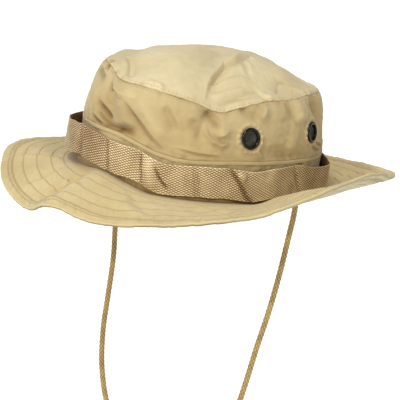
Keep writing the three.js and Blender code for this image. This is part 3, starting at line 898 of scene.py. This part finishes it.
TOP_COLUMNS, TOP_EDGE_COLUMNS, TOP_INNER_COLUMNS = 60, 28, 14
PUCKER_RING = {"radius": 10.1, "half_width": 1.3, "height": 1.1, "pleats": 15, "depth": 0.3}
WALL_SHADE_BASE = 0.14  # painted shade over the whole wall, which rows with a negative shade go below as painted highlights on its paler folds


def wall_fold(at, z):
    """How far the folds move the wall outwards."""
    total = np.zeros(np.broadcast(at, z).shape)
    for fold in rows_of(WALL_FOLDS):
        total += fold_rise(arc_between(fold["at"], at), z - fold["z"], fold)
    return total


def fold_share(at, z, part):
    """The share of the folds that is left near the wall's seams and round its eyelets."""
    share = smoothstep(part, 0, HELD_LOW) * smoothstep(1 - part, 0, HELD_HIGH)
    for eyelet in rows_of(EYELETS):
        distance = np.hypot(arc_between(eyelet["at"], at), z - eyelet["z"])
        share = share * smoothstep(distance, EYELET_FLANGE, 2 * EYELET_FLANGE)
    return share


def section_out(part):
    """How far outside the head ellipse the wall stands, smooth through its section's rows."""
    knots, values = WALL_SECTION["part"], WALL_SECTION["out"]
    slopes = np.gradient(values, knots)
    i = np.clip(np.searchsorted(knots, part, side="right") - 1, 0, len(knots) - 2)
    span = knots[i + 1] - knots[i]
    return hermite(values, slopes, span, i, i + 1, (part - knots[i]) / span)


def wall_ends(at):
    """The heights of the wall's lower and upper edges."""
    return read_round(RIDGE_LINE, "z", at) + SEAM_GAP, read_round(TOP_SEAM_LINE, "z", at)


def wall_points(at, part, inward):
    """Points of the wall a share `part` of the way up it, `inward` mm in from its outside."""
    bottom, top = wall_ends(at)
    z = bottom + (top - bottom) * part
    fold = wall_fold(at, z) * fold_share(at, z, part)
    return around_head(at, section_out(part) + fold - inward, z)


def wall_detail(at, z, part):
    """Creases, small wrinkles and puckers of the wall: how far they stand out, and their shade."""
    u = arc_between(0, at) + 0 * z
    lift, shade = crease_field(WALL_CREASES, round_place(at, z))
    lift = lift + 0.45 * wave_noise(u, z, 26, 11, stretch=0.6) + 0.16 * wave_noise(u, z, 7, 12)
    held = smoothstep(part, -0.02, 0.07) * smoothstep(1 - part, -0.02, 0.05)
    pucker = 0.42 * wave_noise(u, z, 10, 13, stretch=0.35)
    seams = bell(part, 0.10) + bell(1 - part, 0.09)
    rolled = bell(1 - part, 0.018)
    lift = lift * held + pucker * seams - SEAM_DIP * rolled + 0.6 * bell(part, 0.05)
    shade = shade * (0.4 + 0.6 * held) + np.clip(-pucker, 0, 1) * seams * 0.6
    for eyelet in rows_of(EYELETS):
        x, y = arc_between(eyelet["at"], at), z - eyelet["z"]
        distance, turn = np.hypot(x, y), np.arctan2(y, x)
        free = smoothstep(distance, EYELET_FLANGE + 0.6, EYELET_FLANGE + 4.5)
        ring = bell(distance - PUCKER_RING["radius"], PUCKER_RING["half_width"])
        wobble = 0.8 * np.sin(3 * turn + eyelet["z"]) + 0.5 * np.sin(5 * turn + eyelet["at"])
        pleat = np.sin(PUCKER_RING["pleats"] * turn + wobble)
        rough = 1 + 0.4 * np.sin(2 * turn + eyelet["at"])
        lift = lift * free + ring * rough * (PUCKER_RING["height"] + PUCKER_RING["depth"] * pleat)
        # Painted shade in the pleats' dips, and a painted highlight on the ring of puckered cloth
        # round the eyelet.
        shade = shade * free + ring * (np.clip(-pleat, 0, 1) * 0.22 - 0.12)
    return lift, shade + WALL_SHADE_BASE


def eyelet_place(eyelet):
    """The middle of an eyelet on the wall, and the axis that points out of it."""
    bottom, top = wall_ends(eyelet["at"])
    part = (eyelet["z"] - bottom) / (top - bottom)
    parts = WALL_SECTION["part"]
    above = int(np.argmax(parts >= part))
    foot, head = (wall_points(eyelet["at"], parts[k], 0) for k in (above - 1, above))
    middle = foot + (head - foot) * (part - parts[above - 1]) / (parts[above] - parts[above - 1])
    sideways = around_head(eyelet["at"] + 1, 0, 0) - around_head(eyelet["at"] - 1, 0, 0)
    return middle, unit(np.cross(sideways, head - foot))


def pierce(work, middle, axis, radius):
    """Cuts a round hole through both faces of a wall, and joins its edges."""
    centre, way = Vector(middle * MM), Vector(axis)

    def radial(point):
        offset = point - centre
        return offset - way * offset.dot(way)

    def is_cut(face):
        place = face.calc_center_median()
        if (place - centre).length >= 2 * radius * MM:
            return False
        return radial(place).length < radius * MM

    bmesh.ops.delete(work, geom=[face for face in work.faces if is_cut(face)], context="FACES")
    edges = [edge for edge in work.edges if edge.is_boundary]
    for point in {point for edge in edges for point in edge.verts}:
        offset = radial(point.co)
        point.co += offset * (radius * MM / offset.length - 1)
    bmesh.ops.bridge_loops(work, edges=edges)


def seam_line(at):
    """How much painted shade lies along the top seam round the crown: a thin line, deep where the
    cloth wrinkles.
    """
    return np.clip(0.55 + 0.32 * wave_noise(arc_between(0, at), 0 * at, 38, 14), 0.08, 0.8)


def stitch_line(outer, row, normal):
    """The path and normals of the stitches along one row of points of a cloth's outside."""
    return closed(outer[:, row] + normal * STITCH_LIFT), closed(normal)


def make_crown_side():
    at = around(ROUND)
    part = np.linspace(0, 1, WALL_COLUMNS)
    inner_part = np.linspace(1, 0, WALL_INNER_COLUMNS)
    way = outward(at[:, None])
    outer = wall_points(at[:, None], part[None, :], 0)
    lift, shade = wall_detail(at[:, None], outer[..., 2], part[None, :])
    outer = outer + way * lift[..., None]
    inner = wall_points(at[:, None], inner_part[None, :], CLOTH)
    inner_lift, _ = wall_detail(at[:, None], inner[..., 2], inner_part[None, :])
    inner = inner + way * np.minimum(inner_lift, 0.3)[..., None]
    points = np.concatenate([outer, inner], axis=1)
    v = np.concatenate([part, inner_part]) * WALL_UV
    mesh = ring_mesh("crown_side_cloth", at, points, v)
    line = seam_line(at[:, None])
    # Painted shade along the top seam's valley, and a little along the wall's foot above the welt.
    edge = line * bell(1 - part, 0.014) + 0.2 * bell(part, 0.016)
    inside = np.full((ROUND, WALL_INNER_COLUMNS), INSIDE_SHADE)
    point_values(mesh, "crease", np.concatenate([shade + edge, inside], axis=1))

    def vents(work):
        for eyelet in rows_of(EYELETS):
            middle, axis = eyelet_place(eyelet)
            pierce(work, middle, axis, EYELET_BARREL + GAP)

    add_piece("crown_side_cloth", edited(mesh, vents), SHADED_SIDE, ["crown_side"])
    row = int(np.argmin(np.abs(part - (1 - SEAM_STITCH / WALL_RISE))))
    normal = grid_normals(outer)[:, row]
    normal *= np.sign((normal * outer[:, row]).sum(-1, keepdims=True))
    return stitch_line(outer, row, normal)


def top_points(at, share, below):
    """Points of the top panel a share of the way from its middle to its seam."""
    seam = around_head(at, -SEAM_IN, 0)
    x = seam[..., 0] * share
    y = seam[..., 1] * share
    base = read_round(TOP_SEAM_LINE, "z", at) + SEAM_GAP
    level = TOP_LEVEL + (base - TOP_LEVEL) * share**3
    fold = sum(fold_rise(x - row["x"], y - row["y"], row) for row in rows_of(TOP_FOLDS))
    dome = DOME_RISE * (1 - share**DOME_POWER)
    held = smoothstep(1 - share, 0, 0.15)
    return np.stack([x, y, level + dome + fold * held - below], -1)


def make_crown_top():
    at = around(ROUND)[:, None]
    edge_share = np.linspace(TOP_EDGE, 1, TOP_EDGE_COLUMNS)[1:]
    share = np.concatenate([np.linspace(0, TOP_EDGE, TOP_COLUMNS), edge_share])[None, :]
    inner_share = np.linspace(0.96, 0, TOP_INNER_COLUMNS)[None, :]
    outer = top_points(at, share, 0)
    x, y = outer[..., 0], outer[..., 1]
    lift, shade = crease_field(TOP_CREASES, lambda row: (x, y, row["line"]))
    lift = lift + 0.4 * wave_noise(x, y, 34, 21) + 0.14 * wave_noise(x, y, 8, 22)
    held = smoothstep(1 - share, -0.005, 0.05)
    u = arc_between(0, at) + 0 * x
    from_middle = 90 * share + 0 * u  # rough mm
    pucker = 0.45 * wave_noise(u, from_middle, 7, 23, stretch=0.2)
    near_seam = bell(1 - share, 0.045)
    rolled = bell(1 - share, 0.009)
    outer[..., 2] += lift * held + pucker * near_seam - SEAM_DIP * rolled
    shade = shade * held + np.clip(-pucker, 0, 1) * near_seam * 0.8
    rim = around_head(at, -SEAM_IN - CLOTH, outer[:, -1:, 2])
    inner = top_points(at, inner_share, CLOTH + 0.4)
    points = np.concatenate([outer, rim, inner], axis=1)
    count, columns = points.shape[:2]
    uv_points = np.concatenate([points[..., :2], points[:1, :, :2]])
    quads = grid_quads(count, columns, close_across=False)
    uv = ring_uv(uv_points[..., 0], uv_points[..., 1], close_across=False)
    mesh = build_mesh("crown_top_cloth", points.reshape(-1, 3), [quads], uv)
    # Painted shade along the seam's valley.
    seam = seam_line(at) * bell(1 - share, 0.007)
    rest = np.full((count, columns - share.shape[1]), INSIDE_SHADE)
    point_values(mesh, "crease", np.concatenate([shade + seam, rest], axis=1))

    def weld(work):
        bmesh.ops.remove_doubles(work, verts=work.verts, dist=1e-7)

    add_piece("crown_top_cloth", edited(mesh, weld), LIT_TOP, ["crown_top"])
    row = int(np.argmin(np.abs(share[0] - (1 - SEAM_STITCH / TOP_REACH))))
    normal = grid_normals(outer)[:, row]
    normal *= np.sign(normal[:, 2:])
    return stitch_line(outer, row, normal)


WELT_STITCH = 0.75  # mm below the welt to its row of stitches
WELT_COLUMNS, BAND_COLUMNS, BAND_INNER_COLUMNS = 15, 40, 8
BAND_UV = 60  # mm of cloth across the band, outside and inside, that the weave is laid out over


def make_crown_band():
    at = around(ROUND)[:, None]
    bottom = read_round(CROWN_SEAM_LINE, "z", at) + GAP
    top = read_round(RIDGE_LINE, "z", at)
    welt = top - RIDGE_HEIGHT
    turn = np.linspace(0, math.pi, WELT_COLUMNS)[None, :]
    wall = bottom + (welt - bottom) * np.linspace(0, 1, BAND_COLUMNS)[None, :]
    u = arc_between(0, at) + 0 * wall
    wrinkle = 0.30 * wave_noise(u, wall, 14, 31, stretch=0.6) + 0.14 * wave_noise(u, wall, 5, 32)
    outer = around_head(at, np.minimum(wrinkle, 0.2), wall)
    lean = 0.28 * wave_noise(u[:, :1], 0 * at, 9, 33)
    bulge = around_head(
        at,
        0.6 * RIDGE_OUT * np.sin(turn) ** 0.5 * (1 + 0.25 * lean),
        welt + RIDGE_HEIGHT * (1 - np.cos(turn)) / 2 + lean * np.sin(turn),
    )
    down = np.linspace(1, 0, BAND_INNER_COLUMNS)[None, :]
    back = around_head(at, -CLOTH, bottom + (top - bottom) * down)
    points = np.concatenate([outer, bulge, back], axis=1)
    mesh = ring_mesh("crown_band_cloth", at[:, 0], points, np.linspace(0, BAND_UV, points.shape[1]))
    # Painted shade: a little over the whole band, under the welt, along its foot under the webbing,
    # and in the dips of its wrinkles.
    shade = 0.15 + 0.25 * bell(welt - wall, 0.7) + 0.6 * bell(wall - bottom, 7)
    shade = shade + 0.45 * np.clip(-wrinkle, 0, 1)
    # Painted shade along the welt's upper and lower edges.
    edge = 0.2 * bell(turn - 0.1, 0.4) + 0.2 * bell(turn - 3.0, 0.35)
    inside = np.full((ROUND, BAND_INNER_COLUMNS), INSIDE_SHADE)
    point_values(mesh, "crease", np.concatenate([shade, edge + 0 * at, inside], axis=1))
    add_piece("crown_band_cloth", edited(mesh), SHADED_SIDE, ["crown_band"])
    row = around_head(at[:, 0], 0.12, welt[:, 0] - WELT_STITCH)
    return closed(row), closed(outward(at[:, 0]))


CROWN_ROWS = [make_crown_side(), make_crown_top(), make_crown_band()]
add_thread("crown_thread", CROWN_ROWS, pitch=2.9, length=2.2)


# ---- brim --------------------------------------------------------------------------------------

STITCH_ROWS = (5.4, 8.5, 17.0, 28.0, 39.5, 49.5)  # mm in from the rim, where the brim is 60 wide
ROW_HALF_WIDTH = 0.5
ROW_DEPTH = 0.3
ROW_POINTS = (-1.2, -0.6, -0.3, 0, 0.3, 0.6, 1.2)  # mm to each side of a row
HEM_STEP = (-0.5, -0.2, 0.2, 0.5)  # mm to each side of the hem's edge
COLUMN_PITCH = 1.1  # mm between the other columns of points
HEM_KEPT = 10.0  # mm from the rim within which nothing is stretched to the brim's own width
EDGE_STEPS = 7  # rows of points round the rim's edge
STITCH_PITCH = 3.1  # mm from stitch to stitch, and from dent to dent of the grooves they lie in
BRIM_CREASES = (
    # crease: half width, height, lip, painted shade; step: half width, rise, painted shade; then
    # points of the line as (angle, mm out from the crown)
    crease(2.4, -0.8, 0.9, 0.16, (255, 8), (256.5, 22), (254.5, 32), (256, 43)),
    crease(1.8, 0.7, 0.4, 0.1, (253, 18), (261, 27), (270, 33)),
    crease(1.6, 0.6, 0.4, 0.1, (252, 44), (262, 49), (272, 54)),
    crease(4, -0.7, -0.6, 0.06, (238, 12), (243, 30), (242, 50)),
    crease(4.5, 0.8, 0.5, 0, (283, 14), (288, 30), (296, 50)),
    crease(3.5, -0.7, 0.6, 0.08, (312, 12), (318, 28), (322, 46)),
    crease(4, 0.7, -0.5, 0.06, (228, 10), (222, 28), (218, 48)),
    crease(4, -0.8, 0.6, 0.06, (60, 10), (63, 30), (61, 52)),
    crease(4, 0.8, 0.6, 0.06, (110, 10), (106, 30), (109, 52)),
    crease(4, -0.8, 0.6, 0.06, (160, 10), (157, 30), (161, 52)),
)


def brim_middle(at, share):
    """The brim's middle surface at a share of its width."""
    seam = read_round(CROWN_SEAM_LINE, "z", at)
    rise = read_round(RIM_LINE, "z", at) - seam
    reach = np.sqrt(read_round(RIM_LINE, "wide", at) ** 2 - rise**2)
    fold = np.zeros(np.broadcast(at, share).shape)
    for row in rows_of(BRIM_FOLDS):
        along = (share - row["share"]) * BRIM_WIDTH
        across = arc_between(row["at"], at) * (1 + BRIM_SPREAD * share)
        fold += fold_rise(along, across, row)
    fold *= smoothstep(share, 0, 0.12) * smoothstep(1 - share, 0, 0.1)
    out = np.where(share < 0, share * BRIM_UNDER_BAND, share * reach)
    bend = np.where(share < 0, 0, np.abs(share) ** read_round(RIM_LINE, "bend", at))
    return around_head(at, out, seam + rise * bend + fold - BRIM_THICK / 2)


def brim_columns():
    """Places across a 60 mm brim, in mm from the rim: even ones, and close ones at the stitches."""
    close = [row + offset for row in STITCH_ROWS for offset in ROW_POINTS]
    close += [HEM_WIDTH + offset for offset in HEM_STEP]
    even = np.arange(0.4, BRIM_WIDTH, COLUMN_PITCH)
    even = [place for place in even if np.abs(np.array(close) - place).min() > 0.3]
    return np.sort(even + close + [BRIM_WIDTH])[::-1]


def brim_inward(flat, wide):
    """Mm from the rim of a brim `wide` mm wide, for places on a brim of the usual width."""
    stretched = HEM_KEPT + (flat - HEM_KEPT) * (wide - HEM_KEPT) / (BRIM_WIDTH - HEM_KEPT)
    return np.where(flat < HEM_KEPT, flat, stretched)


def brim_stretch(share):
    """How much longer the brim is round the hat there than its inner edge."""
    return 1 + BRIM_SPREAD * np.maximum(0, share)


def brim_detail(at, u, share, out, inward):
    """Creases, small wrinkles and slanting puckers of the brim: their height and their shade."""
    def place(row):
        start = row["line"][0][0]
        line = [(arc_between(start, a) * brim_stretch(b / BRIM_WIDTH), b) for a, b in row["line"]]
        return arc_between(start, at) * brim_stretch(share), out, line

    lift, shade = crease_field(BRIM_CREASES, place)
    free = smoothstep(share, 0.04, 0.25)
    lift = (lift + 0.32 * wave_noise(u, out, 24, 41) + 0.10 * wave_noise(u, out, 7, 42)) * free
    slant = 0.22 * wave_noise(u + 0.8 * out, 0.25 * out, 5.5, 43)
    near_hem = bell(inward - HEM_WIDTH, 6) + 0.3 * free
    return lift + slant * near_hem, shade + 0.5 * np.clip(-slant, 0, 1) * near_hem


def brim_half(u, inward, groove):
    """Half the brim's thickness: thicker at the hem, and drawn in along the rows of stitches."""
    hem = smoothstep(-inward, -HEM_WIDTH - 0.5, -HEM_WIDTH + 0.5)
    half = BRIM_THICK / 2 * 0.95 + (HEM_THICK - BRIM_THICK) / 2 * hem
    return half - ROW_DEPTH * groove * (0.75 + 0.25 * np.sin(u * 2 * math.pi / STITCH_PITCH))


def make_brim():
    at = around(ROUND)[:, None]
    wide = read_round(RIM_LINE, "wide", at)
    flat = brim_columns()
    under_band = np.broadcast_to([-1.0, -0.5], (ROUND, 2))
    share = np.concatenate([under_band, 1 - brim_inward(flat, wide) / wide], axis=1)
    out, inward = np.maximum(0, share) * wide, np.maximum(0, (1 - share) * wide)
    middle = brim_middle(at, share)
    normal = grid_normals(middle)
    normal *= np.sign(normal[..., 2:3])
    u = (arc_between(0, at) + 0 * share) * brim_stretch(share)
    lift, shade = brim_detail(at, u, share, out, inward)
    middle = middle + normal * lift[..., None]
    nominal = np.append([BRIM_WIDTH + 1] * 2, flat)  # no row of stitches is near the first two
    groove = sum(bell(nominal - row, ROW_HALF_WIDTH) for row in STITCH_ROWS)[None, :]
    half = brim_half(u, inward, groove)
    top = middle + normal * half[..., None]
    under = middle - normal * half[..., None]
    turn = np.linspace(0, math.pi, EDGE_STEPS + 2)[1:-1]
    off_rim = unit(middle[:, -1] - middle[:, -2])
    rim = middle[:, -1:] + half[:, -1:, None] * circles(turn, normal[:, -1], 0.75 * off_rim)
    behind = np.unique(np.append(np.arange(0, share.shape[1], 3), share.shape[1] - 1))[::-1]
    points = np.concatenate([top, rim, under[:, behind]], axis=1)
    v = BRIM_WIDTH * np.concatenate([share[0], np.ones(EDGE_STEPS), 2 - share[0, behind]])
    mesh = ring_mesh("brim_cloth", at[:, 0], points, v)
    # Painted shade in the grooves of the stitch rows, near the crown seam under the webbing, and at
    # the hem's edge.
    shade = shade + 0.5 * groove + 0.6 * bell(out, 6) * (share >= 0)
    shade = shade + 0.25 * bell(inward - HEM_WIDTH - 0.6, 0.7)
    # Painted shade on the lower half of the rim, less where the brim turns up, and on the underside
    # towards the hem.
    turned_up = smoothstep(off_rim[:, 2:], 0, 0.3)
    rim_shade = 0.05 + (0.85 - 0.5 * turned_up) * smoothstep(turn, 0.9, 1.9)[None, :]
    back_shade = (0.1 + 0.3 * groove + 0.45 * bell(inward - 7.5, 3))[:, behind]
    point_values(mesh, "crease", np.concatenate([shade, rim_shade, back_shade], axis=1))
    add_piece("brim_cloth", edited(mesh), BRIM, ["brim"])
    # The underside's faces take the darker, greyer copy of the cloth: painted shade.
    mesh.materials.append(SHADED_UNDER)
    column = np.arange(len(mesh.polygons)) % points.shape[1]
    below = (column >= top.shape[1] + EDGE_STEPS // 2) & (column < points.shape[1] - 1)
    mesh.polygons.foreach_set("material_index", below.astype(np.int32))
    lines = []
    for row in STITCH_ROWS:
        column = int(np.argmin(np.abs(nominal - row)))
        lines.append((closed(top[:, column]), closed(normal[:, column])))
        lines.append((closed(under[:, column]), closed(-normal[:, column])))
    add_thread("brim_thread", lines, STITCH_PITCH, length=2.3)


make_brim()


# ---- webbing -----------------------------------------------------------------------------------

WEAVE_LONG, WEAVE_ROWS = 1.83, 24  # mm of webbing for each raised yarn, and rows of them across it
WEAVE_DEPTH = 0.22  # mm
SAMPLES = 3  # points for each yarn, each way
WEBBING_INNER_COLUMNS = 8
WEBBING_CREASES = (
    # crease: half width, height, lip, painted shade (below 0, a painted highlight); step: half width,
    # rise, painted shade; then points of the line as (angle, mm above the middle). Rows with no
    # height
    # only paint shade or light over a stretch: the webbing's ends, turned from the light, are painted
    # darker.
    crease(1.6, -0.7, 0.6, 0.45, (265, 14), (267, 3), (269.5, -14)),
    crease(1, -0.8, 0, 0.6, (285, 13), (286, 4), (288, -14)),
    crease(5.5, 1.5, 0, -0.34, (290, 15), (291, 0), (293, -14)),
    step(4, 1.2, 0.85, (293, 9), (296, 1), (301, -7)),
    step(5, 1.8, 0.75, (325, 16), (329, 7), (332, 1), (335.5, -7), (341, -15)),
    crease(2.6, 0.9, 0, -0.34, (329.5, 9), (334, 5)),
    crease(1.5, -0.7, 0.4, 0.4, (1, 13), (4, 2), (9, -11)),
    crease(1.8, -0.6, 0.4, 0.25, (246, 13), (248, -12)),
    crease(1.8, -0.6, -0.4, 0.25, (310, 14), (314, -14)),
    crease(18, 0, 0, 0.52, (214, 26), (214, -26)),
    crease(28, 0, 0, 0.46, (248, 26), (248, -26)),
    crease(20, 0, 0, 0.46, (18, 26), (20, -26)),
    crease(9, 0, 0, -0.2, (345, 22), (350, -22)),
    *(crease(1.5, -0.6, 0.3, 0.45, (at, 14), (at + 0.5, -14)) for at in (52, 97, 140, 188)),
)


def webbing_face(at, rise, out):
    """A point of the webbing, `rise` mm above its middle line and `out` mm off its inner face."""
    inside = GAP + np.maximum(0, read_round(WEBBING_LINE, "off", at))
    return around_head(at, inside + out, read_round(WEBBING_LINE, "z", at) + rise)


def even_round(curve, count_for):
    """Angles that cut a closed curve round the hat evenly, into count_for(its length) parts."""
    fine = np.append(around(7200), FULL_TURN)
    run = run_along(curve(fine))
    count = count_for(run[-1])
    return np.interp(np.arange(count) / count * run[-1], run, fine)


def weave_steps(length):
    """Steps of points along the webbing: an even number of yarns, so that its ends match."""
    return 2 * round(length / WEAVE_LONG / 2) * SAMPLES


def weave_bumps(count, columns):
    """How high the yarns stand: up to 1 where one passes over, down to -0.45 where it goes under."""
    along = np.arange(count)[:, None] / SAMPLES
    across = np.arange(columns)[None, :] / SAMPLES
    bump = np.abs(np.sin(math.pi * along)) ** 0.6 * np.abs(np.sin(math.pi * across)) ** 0.8
    over = (np.floor(along) + np.floor(across)) % 2 < 1
    return np.where(over, bump, -0.45 * bump)


def make_webbing():
    angles = even_round(lambda a: webbing_face(a, 0, WEBBING_THICK / 2), weave_steps)
    at = angles[:, None]
    count, columns = len(angles), WEAVE_ROWS * SAMPLES + 1
    rise = np.linspace(-0.5, 0.5, columns)[None, :] * WEBBING_WIDTH
    from_edge = WEBBING_WIDTH / 2 - np.abs(rise)
    weave = weave_bumps(count, columns) * smoothstep(from_edge, 0, 0.8)
    lift, shade = crease_field(WEBBING_CREASES, round_place(at, rise))
    run = np.arange(count)[:, None] / SAMPLES * WEAVE_LONG
    lift = lift + 0.30 * wave_noise(run, rise, 22, 51, stretch=0.7)
    sway = 0.25 * wave_noise(run, 0 * rise, 16, 52)
    inner_rise = np.linspace(0.5, -0.5, WEBBING_INNER_COLUMNS)[None, :] * WEBBING_WIDTH
    inner = webbing_face(at, inner_rise + sway[:, :1], 0)
    body = np.maximum(WEBBING_THICK * 0.8 + lift, 0.3)
    outer = webbing_face(at, rise + sway, body + WEAVE_DEPTH * weave)
    points = np.concatenate([outer, inner], axis=1)
    v = np.concatenate([rise[0], WEBBING_WIDTH - inner_rise[0]])
    mesh = ring_mesh("webbing_weave", angles, points, v)
    selvedge = 0.3 * (1 - smoothstep(from_edge, 0.2, 0.7))
    # The relief attribute paints the weave: painted highlights on the raised yarns, painted shade in
    # the gaps, and the creases' painted shade taken off.
    relief = np.clip(0.44 + 0.78 * weave + selvedge - 0.55 * shade, 0, 1)
    # The webbing's inner face is painted dark brown: painted shade inside the loops.
    inside = np.full((count, WEBBING_INNER_COLUMNS), 0.02)
    point_values(mesh, "relief", np.concatenate([relief, inside], axis=1))
    add_piece("webbing_weave", edited(mesh), WEBBING, ["webbing_band"])


make_webbing()


# ---- vents -------------------------------------------------------------------------------------


RING_SIDES = 72
RING_PROFILE = (
    # radius, height out of the wall
    (EYELET_BORE, -3.7), (6.4, -4), (7.7, -4), (EYELET_FLANGE, -3.7), (EYELET_FLANGE, -3),
    (7.7, -2.8), (EYELET_BARREL, -2.7), (EYELET_BARREL, 0.5), (7.4, 0.5), (7.95, 0.62),
    (8.05, 0.9), (7.8, 1.3), (7.25, 1.62), (6.7, 1.72), (6.2, 1.6), (5.85, 1.3),
    (EYELET_BORE, 0.8), (EYELET_BORE, -0.5), (EYELET_BORE, -2.5),
)
SCREEN_WIRE = {"radius": 0.25, "pitch": 0.62, "reach": 5.62, "sides": 5, "wave": 0.13, "level": -0.6}


def turned_out(points, middle, axis):
    """Points with +Z as the eyelet's axis, put on the wall."""
    turn = Vector((0, 0, 1)).rotation_difference(Vector(axis)).to_matrix()
    return points @ np.array(turn).T + middle


def screen_wire(number, way):
    """Points and quads of one wire along X or Y, `number` pitches from the middle."""
    pitch, reach, sides, radius = (SCREEN_WIRE[k] for k in ("pitch", "reach", "sides", "radius"))
    off = number * pitch
    half = math.sqrt(reach**2 - off**2)
    count = max(6, int(4 * half / pitch))
    run = np.linspace(-half, half, count)[:, None]
    wave = SCREEN_WIRE["wave"] * np.cos(math.pi * (run / pitch + number + way))
    turn = np.radians(around(sides))
    height = SCREEN_WIRE["level"] + wave + radius * np.sin(turn)
    tube = np.stack(np.broadcast_arrays(run, off + radius * np.cos(turn), height), -1)
    if way:
        tube = tube[..., [1, 0, 2]]
    return tube.reshape(-1, 3), grid_quads(count, sides, ring=False)


def screen_wires():
    """Points and quads of a woven disc of wires round the Z axis."""
    lines = int(SCREEN_WIRE["reach"] / SCREEN_WIRE["pitch"])
    numbers = range(-lines, lines + 1)
    return joined(screen_wire(number, way) for way in (0, 1) for number in numbers)


def make_vents():
    turn = np.radians(around(RING_SIDES))[:, None]
    radius, height = np.array(RING_PROFILE).T
    profile = np.broadcast_arrays(radius * np.cos(turn), radius * np.sin(turn), height)
    ring = np.stack(profile, -1).reshape(-1, 3)
    ring_faces = grid_quads(RING_SIDES, len(height))
    wires, wire_faces = screen_wires()
    for number, eyelet in enumerate(rows_of(EYELETS), 1):
        middle, axis = eyelet_place(eyelet)
        name = f"vent_ring_{number}"
        mesh = edited(build_mesh(name, turned_out(ring, middle, axis), [ring_faces]))
        add_piece(name, mesh, BLACK, [f"vent_eyelet_{number}"])
        name = f"vent_wires_{number}"
        mesh = build_mesh(name, turned_out(wires, middle, axis), [wire_faces])
        mesh = edited(mesh, lambda work: bmesh.ops.holes_fill(work, edges=work.edges))
        add_piece(name, mesh, SCREEN, [f"vent_screen_{number}"])


make_vents()


# ---- stage and light ---------------------------------------------------------------------------

FLOOR_LEVEL, FLOOR_HALF = -0.3, 40.0  # metres
FLOOR_GLOW = 0.30  # light of its own, so that the floor is white up to its corners


def make_stage():
    mesh = bpy.data.meshes.new("floor")
    sides = ((-1, -1), (1, -1), (1, 1), (-1, 1))
    corners = [(x * FLOOR_HALF, y * FLOOR_HALF, FLOOR_LEVEL) for x, y in sides]
    mesh.from_pydata(corners, [], [(0, 1, 2, 3)])
    floor = bpy.data.objects.new("floor", mesh)
    n = Nodes("pale_floor")
    grain = n.noise(n.place(), 3.0, 2.0)
    mesh.materials.append(n.finish({
        "Base Color": n.mix(grain, (0.93, 0.93, 0.93, 1), (0.96, 0.96, 0.96, 1)),
        "Roughness": 0.9,
        "Specular IOR Level": 0.1,
        "Emission Color": (1, 1, 1, 1),
        "Emission Strength": FLOOR_GLOW,
    }))
    bpy.context.scene.collection.objects.link(floor)


SUNS = (
    # name, azimuth, elevation, strength, and the degrees that it takes up in the sky
    ("front_sun", 3, 25, 1.15, 7),
    ("right_sun", 62, 38, 0.75, 7),
    ("top_sun", -5, 62, 1.1, 9),
)
SKY = 0.38
SKY_COLOUR = (1.0, 0.96, 0.87, 1)


def make_lights():
    for name, azimuth, elevation, strength, angle in SUNS:
        light = bpy.data.lights.new(name, "SUN")
        light.energy = strength
        light.angle = math.radians(angle)
        back = direction(azimuth, elevation)
        lamp = bpy.data.objects.new(name, light)
        lamp.location = 3.0 * back
        lamp.rotation_euler = back.to_track_quat("Z", "Y").to_euler()
        bpy.context.scene.collection.objects.link(lamp)
    world = bpy.data.worlds.new("studio")
    bpy.context.scene.world = world
    world.use_nodes = True
    shade = world.node_tree.nodes["Background"]
    shade.inputs["Color"].default_value = SKY_COLOUR
    shade.inputs["Strength"].default_value = SKY
    bpy.context.scene.view_settings.view_transform = "Standard"


make_stage()
make_lights()
